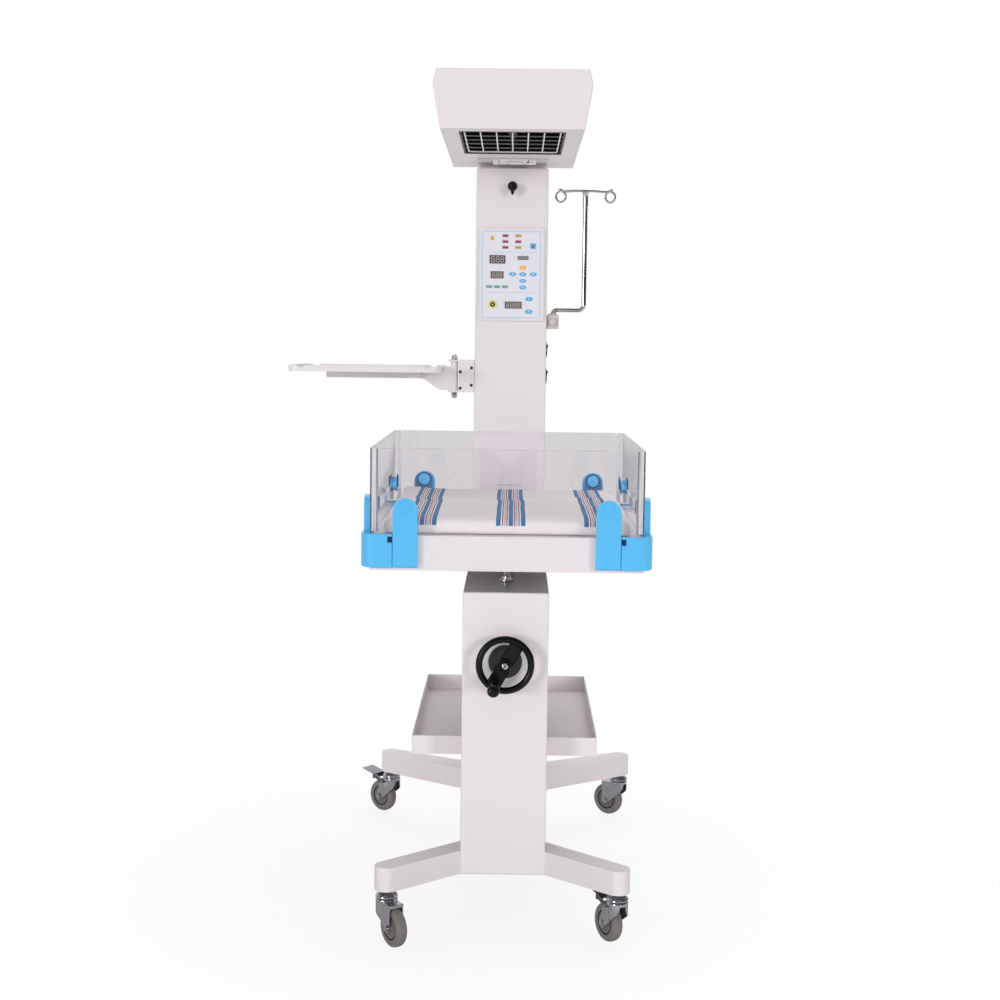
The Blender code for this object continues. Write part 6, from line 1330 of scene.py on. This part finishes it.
def head_details():
    """Window lip, grille, crease, angle scale, seams, the swivel's clips, the hood's screws and the heater's
    clips.
    """
    shape = bmesh.new()
    outer = rounded((-107.6, 174.0), (107.6, 546.0), 1.0, 2)
    rim_band(shape, outer, rounded((-104.0, 176.0), (104.0, 544.0), 3.0, 2), 1561.9, 1563.2, "XY")
    lip = rounded((-104.2, 174.8), (104.2, 545.2), 0.6, 2)
    rim_band(shape, lip, rounded((-103.4, 175.6), (103.4, 544.4), 0.4, 2), 1562.0, 1566.0, "XY")
    piece_of("window_lip", shape, SHADOW_GREY, "head_base", ease=0.2)
    shape = bmesh.new()
    border = [(x, y, 1566.0) for x, y in rounded((-97.5, 184.5), (97.5, 535.5), 9.0, 6)]
    pipe(shape, border, 1.7, 14, closed=True)
    piece_of("grille_frame", shape, SCALE_WHITE, "heater_grille")
    bars = [(x, 185.0, 1566.0) for x in (-65.0, -32.5, 0.0, 32.5, 65.0)]
    lengthwise = grown(
        "grille_bars", WIRES, bars, Radius=1.5 * MM, Run=(0, 0.350, 0), Sides=14, Metal=SCALE_WHITE,
    )
    # The cross wires are darker than the bars: partly their own tone, partly painted shade for lying deeper.
    cross = [(-105.6, y, 1568.4) for y in (282.0, 347.0, 410.0, 482.0)]
    wires = grown(
        "grille_wires", WIRES, cross, Radius=1.6 * MM, Run=(0.2112, 0, 0), Sides=12, Metal=WIRE_GREY_PART_SHADE,
    )
    rides(lengthwise, "heater_grille", True)
    rides(wires, "heater_grille")
    shape = bmesh.new()
    prism(shape, square((-132, 598.6), (132, 600.4)), 1562.7, 1563.1, "XY")
    piece_of("base_crease", shape, HEAD_PAINT_SHADED_COPY, "head_base", ease=0.15)
    shape = bmesh.new()
    prism(shape, rounded((-45, 1549.2), (53, 1562.3), 1.2, 3), 638.7, 640.0, "XZ", 0)
    curve = [
        (4 + 30 * math.sin(math.radians(a)), 1516 + 41 * math.cos(math.radians(a)))
        for a in range(-40, 41, 4)
    ]
    curve = [(a, 1555.4 + (b - 1555.4) * 0.22) for a, b in curve]
    prism(shape, curve + [(a, b + 0.9) for a, b in reversed(curve)], 638.45, 638.75, "XZ", 1)
    prism(shape, rounded((-32.3, 1553.2), (-30.3, 1558.6), 0.8, 3), 638.45, 638.75, "XZ", 2)
    prism(shape, [(32.4, 1552.8), (35.6, 1552.8), (37.4, 1559.0), (34.2, 1559.0)], 638.45, 638.75, "XZ", 2)
    piece_of("angle_scale", shape, [SCALE_WHITE, INKS["frame"], INKS["black"]], "head_base")
    shape = bmesh.new()
    for side in (-1, 1):
        x0, x1 = sorted((side * 139.6, side * 142.9))
        prism(shape, rounded((x0, 129.6), (x1, 830.4), 0.3, 2), 1562.6, 1562.95, "XY")
    piece_of("base_seams", shape, HEAD_PAINT_SHADED_COPY, "head_base")
    shape = bmesh.new()
    for x in (-19.0, 16.0):
        coil = []
        for step in range(73):
            turn = math.tau * 9 * step / 72
            coil.append((x - 14 + 28 * step / 72, 639.0 + 1.1 * math.cos(turn), 1548.9 + math.sin(turn)))
        pipe(shape, coil, 0.45, 8)
    piece_of("swivel_clips", shape, BRASS, "swivel_post", body="head")
    for label, side in (("left", -1), ("right", 1)):
        places = [(side * 144.3, y, 1574.0) for y in (190.0, 480.0, 770.0)]
        screws("hood_screws_" + label, places, (side, 0, -0.14), "head_hood", 3.4, 1.4)
    shape = bmesh.new()
    for side in (-1, 1):
        post = [(0, 0), (4.0, 0), (4.0, 1.2), (2.6, 2.0), (2.6, 8.0), (0, 8.0)]
        for y in (170.5, 549.5):
            lathe(shape, post, (side * 30.0, y, 1604.8), (0, 1 if y > 300 else -1, 0), 16)
    piece_of("heater_clips", shape, BRASS, "reflector")


head_details()


# Drip pole, knob and instrument tray

KNOB_SEAT = (0, 685, 1503)
HINGE = (-131, 705)

def drip_pole():
    """Bent chrome pole with its sleeve, bowed cross bar with ball ends, and two drop-shaped rings."""
    shape = bmesh.new()
    foot, up, y = 97.8, 170.5, 715.0
    path = [(foot, y, z) for z in (1191, 1198, 1204, 1209)]
    path += [
        (foot + 12 - 12 * math.cos(a), y, 1210.7 + 12 * math.sin(a))
        for a in [math.pi / 2 * s / 8 for s in range(9)]
    ]
    path += [(foot + 12 + (up - foot - 24) * s / 4, y, 1222.7) for s in range(1, 4)]
    path += [
        (up - 12 + 12 * math.sin(a), y, 1234.7 - 12 * math.cos(a))
        for a in [math.pi / 2 * s / 8 for s in range(9)]
    ]
    path += [(up, y, z) for z in (1260, 1300, 1350, 1400, 1450, 1478)]
    pipe(shape, path, 5.4, 20)
    sleeve = [
        (0, 1462), (5.4, 1462), (6.3, 1463), (6.3, 1480), (5.8, 1483), (5.8, 1489), (7.0, 1493),
        (9.4, 1497), (0, 1499),
    ]
    lathe(shape, sleeve, (up, y, 0), UPWARDS, 28)
    bar = []
    for step in range(25):
        part = step / 12 - 1
        bar.append(
            (
                up + 58 * part, y,
                1499.6 - 3.4 * part * part + 4.5 * max(0, abs(part) - 0.8) * 5 * abs(part) ** 8,
            )
        )
    pipe(shape, bar, 3.1, 16)
    for side in (-1, 1):
        tip = (up + side * 60.0, y, 1500.4)
        ball = [(0, -4.2), (2.2, -3.6), (3.7, -2.0), (4.2, 0), (3.7, 2.0), (2.2, 3.6), (0, 4.2)]
        lathe(shape, ball, tip, (side, 0, 0.35), 22)
        ring = []
        for step in range(40):
            a = math.tau * step / 40
            pinch = 1 - 0.28 * max(0.0, math.cos(a)) ** 3
            ring.append((up + side * 57.6 + 11.4 * math.sin(a) * pinch, y, 1485.6 + 12.4 * math.cos(a)))
        pipe(shape, ring, 2.5, 12, closed=True)
    piece_of("iv_pole_bent", shape, CHROME, "iv_pole", True)
    shape = bmesh.new()
    collar = [(5.9, 0), (9.6, 0), (10.2, 0.5), (10.2, 2.6), (9.4, 3.2), (6.1, 3.2), (5.9, 3.0)]
    lathe(shape, collar, (foot, y, 1210.4), UPWARDS, 32, closed=True)
    knob = [(0, 0.5), (3.4, 0.5), (3.4, 4.5), (7.6, 5.0), (8.4, 6.0), (8.4, 12.2), (7.6, 13.2), (0, 13.6)]
    lathe(shape, knob, (foot, 695.6, 1194.0), FORWARDS, 26)
    piece_of("clamp_collar", shape, BEIGE, "iv_clamp", ease=0.25)


def ball_knob():
    """The lock knob: a gloss ball on a waisted neck with a collar, and its steel stem."""
    shape = bmesh.new()
    ball = [(0, 35.1)]
    for step in range(1, 16):
        angle = math.radians(90 - step * 10)
        ball.append((11.5 * math.cos(angle), 23.6 + 11.5 * math.sin(angle)))
    ball += [
        (5.4, 13.0), (5.2, 9.0), (5.8, 6.4), (7.2, 5.6), (8.8, 5.3), (9.0, 4.6), (9.0, 0.8), (8.6, 0.3),
        (0, 0.3),
    ]
    lathe(shape, ball, KNOB_SEAT, FORWARDS, 40)
    tip = [(0, 6.0), (4.6, 6.0), (4.3, 11.5), (3.4, 16.0), (2.6, 18.4), (1.4, 19.4), (0, 19.6)]
    lathe(shape, tip, (0, 661.4, 1503), (0, 0.12, -1), 20)
    lathe(shape, [(0, 0.6), (4.0, 0.6), (4.0, -36.0), (3.2, -37.0), (0, -37.0)], KNOB_SEAT, FORWARDS, 24, 1)
    piece_of("lock_knob_turned", shape, [BLACK, STEEL], "lock_knob", True)


def tray_hinge():
    """Pin with washers and hexagon nuts, and the bracket's dark screws."""
    shape = bmesh.new()
    rod = [(0, 1012.6), (2.8, 1012.6), (3.8, 1013.6), (3.8, 1114.6), (2.8, 1115.6), (0, 1115.6)]
    lathe(shape, rod, (*HINGE, 0), UPWARDS, 24)
    for low, high, out in ((1105.3, 1113.2, 1), (1014.9, 1025.4, -1)):
        prism(shape, hexagon(HINGE, 6.9, 14), low, high, "XY")
        seat = 1103.7 if out > 0 else 1027.3
        washer = [(3.4, 0), (8.2, 0), (8.2, 1.5), (3.4, 1.5)]
        lathe(shape, washer, (*HINGE, seat), (0, 0, out), 28, closed=True)
    piece_of("hinge_pin_turned", shape, ZINC, "hinge_pin", True, ease=0.4)
    places = [
        (-90.7, 690.0, 1084.5), (-91.0, 690.0, 1044.0), (-117.0, 690.0, 1075.0), (-117.0, 690.0, 1037.0),
    ]
    screws("bracket_screws", places, FORWARDS, "tray_bracket", 3.6, 1.6, DARK)
    shape = bmesh.new()
    for x in (-398.0, -262.0):
        for y in (693.0, 717.0):
            lathe(
                shape, [(0, -1.2), (2.9, -1.2), (3.3, -0.7), (3.3, 0.2), (0, 0.2)], (x, y, 1065.0), UPWARDS,
                18,
            )
    piece_of("tray_rivets", shape, ZINC, "tray_arm")


drip_pole()
ball_knob()
tray_hinge()


# Bed arms


def arm_rings():
    """On each arm the fine round line outside, and inside a ringed button with a dot on an arch, where the
    groove ring, dot, slot and arch are dark blues for painted shade in these recesses.
    """
    side_ends = {0: (0, 0), 180: (0, 650), 270: (-267, 325), 90: (267, 325)}
    arms = [("front_arm_left", 0, -196.5), ("front_arm_right", 0, 196.5)]
    arms += [("rear_arm_left", 180, 196.5), ("rear_arm_right", 180, -196.5)]
    arms += [("left_arm_front", 270, 254.5), ("left_arm_rear", 270, -254.5)]
    arms += [("right_arm_front", 90, -254.5), ("right_arm_rear", 90, 254.5)]
    blues = [BLUE, BLUE_LINE, SLOT_SHADE_BLUE, ARCH_SHADE_BLUE]
    line, shade_dark, arch_shade = 1, 2, 3
    for node, heading, x in arms:
        shape = bmesh.new()
        ring = [(a, -14.2, b) for a, b in circle((x, 826), 12.2, 64)]
        pipe(shape, ring, 0.34, 8, closed=True, mark=line)
        # Painted shade: a dark blue arch, and darker blue on the button's groove ring, centre dot and slot.
        arch = arc((x, 822.5), 19.3, 0, 180, 28) + [(x - 19.3, 803), (x + 19.3, 803)]
        prism(shape, arch, 11.7, 12.0, "XZ", arch_shade)
        seat = [(0, -0.2), (16.2, -0.2), (16.2, 0.9), (15.6, 1.3), (13.2, 1.3), (13.0, 3.2), (12.4, 3.8)]
        seat += [(9.0, 4.0), (8.6, 3.8), (8.0, 4.0), (1.5, 4.1), (1.2, 3.7), (0, 3.7)]
        marks = [0] + [shade_dark] * 4 + [0] * 5 + [shade_dark] * 3
        lathe(shape, seat, (x, 11.7, 825.5), BACKWARDS, 48, marks)
        prism(shape, square((x - 0.8, 803), (x + 0.8, 812)), 11.7, 12.4, "XZ", shade_dark)
        piece_of(node + "_rings", shape, blues, node, where=bench((*side_ends[heading], 0), heading))


arm_rings()


# Columns


def column_details():
    """Access plate behind the bed, switch bezels, inlet prongs, and the rear cover's screws."""
    shape = bmesh.new()
    notch = arc((-3.3, 889), 30, 180, 360, 20)
    plate = [
        (-68, 704), (64.5, 704), (64.5, 887), (62.5, 889),
    ] + list(reversed(notch)) + [(-66, 889), (-68, 887)]
    # The plate is painted a little darker than the column, with a paler crescent at its notch and a paler
    # line near its right edge as painted highlights, and a dark line as the painted shade of its slot.
    prism(shape, plate, 683.9, 685.0, "XZ", 0)
    crescent = arc((-3.3, 889), 29.6, 181, 359, 24) + list(reversed(arc((-3.3, 889), 23.0, 181, 359, 24)))
    prism(shape, crescent, 684.3, 685.0, "XZ", 2)
    prism(shape, square((55.4, 712), (56.6, 880)), 683.5, 684.1, "XZ", 2)
    prism(shape, rounded((-29.8, 808.8), (23.3, 810.3), 0.7, 3), 683.7, 684.1, "XZ", 1)
    piece_of("access_plate", shape, [PLATE_GREY_PAINTED_SHADE, INKS["frame"], PAINT], "rear_column", ease=0.25)
    shape = bmesh.new()
    for z in (1068.0, 1129.0):
        outer, inner = rounded(
            (689.0, z - 17.5), (713.0, z + 17.5), 2.0,
        ), rounded((692.6, z - 13.4), (709.4, z + 13.4), 0.8)
        rim_band(shape, outer, inner, 83.5, 85.1, "YZ")
    piece_of("switch_bezels", shape, DARK, "switch_upper", ease=0.35, body="frame")
    shape = bmesh.new()
    for x, z in ((-8.5, 296.0), (8.5, 296.0), (0.0, 304.5)):
        prism(shape, rounded((x - 1.1, z - 3.0), (x + 1.1, z + 3.0), 0.5, 3), 822.5, 830.5, "XZ")
    piece_of("inlet_prongs", shape, BRIGHT_STEEL, "power_inlet", ease=0.2)
    places = [(side * 74.0, 833.0, z) for side in (-1, 1) for z in (170, 440, 710, 980, 1250, 1528)]
    screws("cover_screws", places, BACKWARDS, "rear_cover", 3.0, 1.1)
    places = [(side * 25.5, 833.6, 300.0) for side in (-1, 1)]
    screws("inlet_screws", places, BACKWARDS, "power_inlet", 2.2, 1.6)
    shape = bmesh.new()
    for x, z in ((-23.0, 1206.0), (23.0, 1206.0)):
        lathe(shape, [(0, 0), (3.0, 0), (3.0, 1.0), (2.4, 1.4), (0, 1.4)], (x, 833.0, z), BACKWARDS, 20)
    piece_of("cover_plugs", shape, PAINT, "rear_cover")


def column_cap():
    """Grey cap plate with painted shade on the lift column, and dark blue plates in the corner blocks' slots
    for their painted shade.
    """
    shape = bmesh.new()
    prism(shape, rounded((-82.4, -18.9), (82.4, 358.9), 1.5, 3), 664.02, 664.25, "XY")
    piece_of("column_cap", shape, CAP_GREY_PAINTED_SHADE, "lift_column")
    # A thin dark blue plate at the back of each block's slot stands for the painted shade in it.
    for node, side, y, way in (
        ("front_left", -1, -16.0, 1), ("front_right", 1, -16.0, 1), ("rear_left", -1, 666.0, -1),
        ("rear_right", 1, 666.0, -1),
    ):
        shape = bmesh.new()
        x0, x1 = sorted((side * 230.2, side * 222.0))
        y0, y1 = sorted((y + way * 7.4, y + way * 7.95))
        prism(shape, square((x0, 757.8), (x1, 769.2)), y0, y1, "XZ")
        piece_of("block_slot_shade_" + node, shape, SLOT_SHADE_BLUE, "corner_block_" + node)


column_details()
column_cap()


# Floor, light and camera


# How bright the white backdrop is where seen through the clear panels: painted shade for the light the panels
# take from it.
BEHIND_GLASS = 0.67


def studio_floor():
    """Pale floor that keeps the warmer's soft shadow and is plain white further out."""
    shape = bmesh.new()
    bmesh.ops.create_circle(shape, cap_ends=True, segments=96, radius=30)
    floor = added("studio_floor", mesh_from(shape, "studio_floor"))
    if floor.data.polygons[0].normal.z < 0:
        floor.data.flip_normals()
    material, tree, shader = finish("studio_floor", Roughness=1.0, Specular_IOR_Level=0.0)
    feed(shader, Base_Color=(0.93, 0.93, 0.93, 1))
    place = coordinates(tree)
    away = node_of(tree, "ShaderNodeVectorMath", operation="LENGTH", in_0=(place, "Object"))
    edge = eased_range(tree, (away, "Value"), 0.3, 1.25, 0.86)
    path = node_of(tree, "ShaderNodeLightPath")
    either = maths(tree, "ADD", (path, "Is Camera Ray"), (path, "Is Glossy Ray"))
    seen = maths(tree, "ADD", either, (path, "Is Transmission Ray"), clamp=True)
    share = maths(tree, "MULTIPLY", edge, seen)
    bounced = maths(tree, "SUBTRACT", (path, "Is Glossy Ray"), (path, "Is Transmission Ray"), clamp=True)
    near = eased_range(tree, (away, "Value"), 0.5, 1.1, -0.66, -0.2)
    dim = maths(tree, "MULTIPLY_ADD", bounced, near, 1.0)
    pale = maths(tree, "MULTIPLY_ADD", (path, "Is Transmission Ray"), BEHIND_GLASS - 1.0, dim)
    plain = node_of(tree, "ShaderNodeEmission", in_Strength=pale)
    mix = node_of(tree, "ShaderNodeMixShader", in_0=share, in_1=shader, in_2=plain)
    feed(tree.nodes["Material Output"], Surface=mix)
    floor.data.materials.append(material)


def studio_world(low_level=0.24, high_level=0.46):
    """White behind everything, a dim room in front for gloss to pick up, and a low even light."""
    world = bpy.data.worlds.new("studio")
    bpy.context.scene.world = world
    world.use_nodes = True
    tree = world.node_tree
    back = tree.nodes["Background"]
    path = node_of(tree, "ShaderNodeLightPath")
    through = maths(tree, "MULTIPLY", (path, "Is Transmission Ray"), BEHIND_GLASS)
    seen = maths(tree, "MAXIMUM", (path, "Is Camera Ray"), through)
    place = coordinates(tree)
    split = node_of(tree, "ShaderNodeSeparateXYZ", in_Vector=(place, "Generated"))
    room = eased_range(tree, (split, "Y"), -0.3, 0.95, 0.16, 0.75)
    shady = eased_range(tree, (split, "X"), 0.1, 0.6, 1.0, 0.35)
    toned = maths(tree, "MULTIPLY", room, shady)
    gloss = maths(tree, "MULTIPLY", toned, (path, "Is Glossy Ray"))
    rest = maths(tree, "SUBTRACT", 1.0, (path, "Is Glossy Ray"))
    height = eased_range(tree, (split, "Z"), -0.1, 0.9, low_level, high_level)
    low = maths(tree, "MULTIPLY", rest, height)
    unseen = maths(tree, "ADD", gloss, low)
    strength = maths(tree, "MAXIMUM", seen, unseen)
    feed(back, Strength=strength, Color=(1, 1, 1, 1))


def softbox(name, place, target, size, power):
    """A large soft lamp that points at the target."""
    lamp = bpy.data.lights.new(name, "AREA")
    lamp.shape = "RECTANGLE"
    lamp.size, lamp.size_y = size
    lamp.energy = power
    stand = added(name, lamp)
    stand.location = place
    stand.rotation_mode = "QUATERNION"
    stand.rotation_quaternion = (Vector(target) - Vector(place)).to_track_quat("-Z", "Y")
    return stand


def distant(name, toward, strength, spread):
    """An even lamp far off in a direction, with soft shadows."""
    lamp = bpy.data.lights.new(name, "SUN")
    lamp.energy = strength
    lamp.angle = math.radians(spread)
    stand = added(name, lamp)
    stand.rotation_mode = "QUATERNION"
    stand.rotation_quaternion = (-Vector(toward)).to_track_quat("-Z", "Y")
    return stand


def camera():
    """The photograph's view of the warmer."""
    lens = bpy.data.cameras.new("camera")
    lens.sensor_width = 36
    lens.lens = 57.972
    lens.clip_start = 0.05
    stand = added("camera", lens)
    pitch, yaw, roll = 0.0969, -0.0084, 0.0128
    ahead = Vector((math.sin(yaw) * math.cos(pitch), math.cos(yaw) * math.cos(pitch), -math.sin(pitch)))
    right = Vector((math.cos(yaw), -math.sin(yaw), 0))
    up = right.cross(ahead)
    across = right * math.cos(roll) + up * math.sin(roll)
    above = up * math.cos(roll) - right * math.sin(roll)
    turn = Matrix((across, above, -ahead)).transposed()
    stand.matrix_world = Matrix.Translation((0.113679, -3.439182, 1.14257)) @ turn.to_4x4()
    bpy.context.scene.camera = stand


studio_floor()
studio_world()
distant("key_left", (-0.78, -1.0, 0.15), 0.86, 14)
distant("key_right", (0.80, -1.0, 0.20), 0.72, 12).visible_glossy = False
distant("front_fill", (0.05, -1.0, 0.30), 0.33, 45).visible_glossy = False
distant("back_fill", (0.10, 0.75, 1.30), 1.10, 50)
softbox("glint_left", (-1.7, -3.0, 2.4), (0.1, 0.0, 0.9), (0.7, 1.6), 2.2)
softbox("glint_right", (2.1, -2.6, 2.2), (0.1, 0.0, 0.9), (0.5, 1.4), 1.5)
camera()
bpy.context.scene.view_settings.view_transform = "Standard"
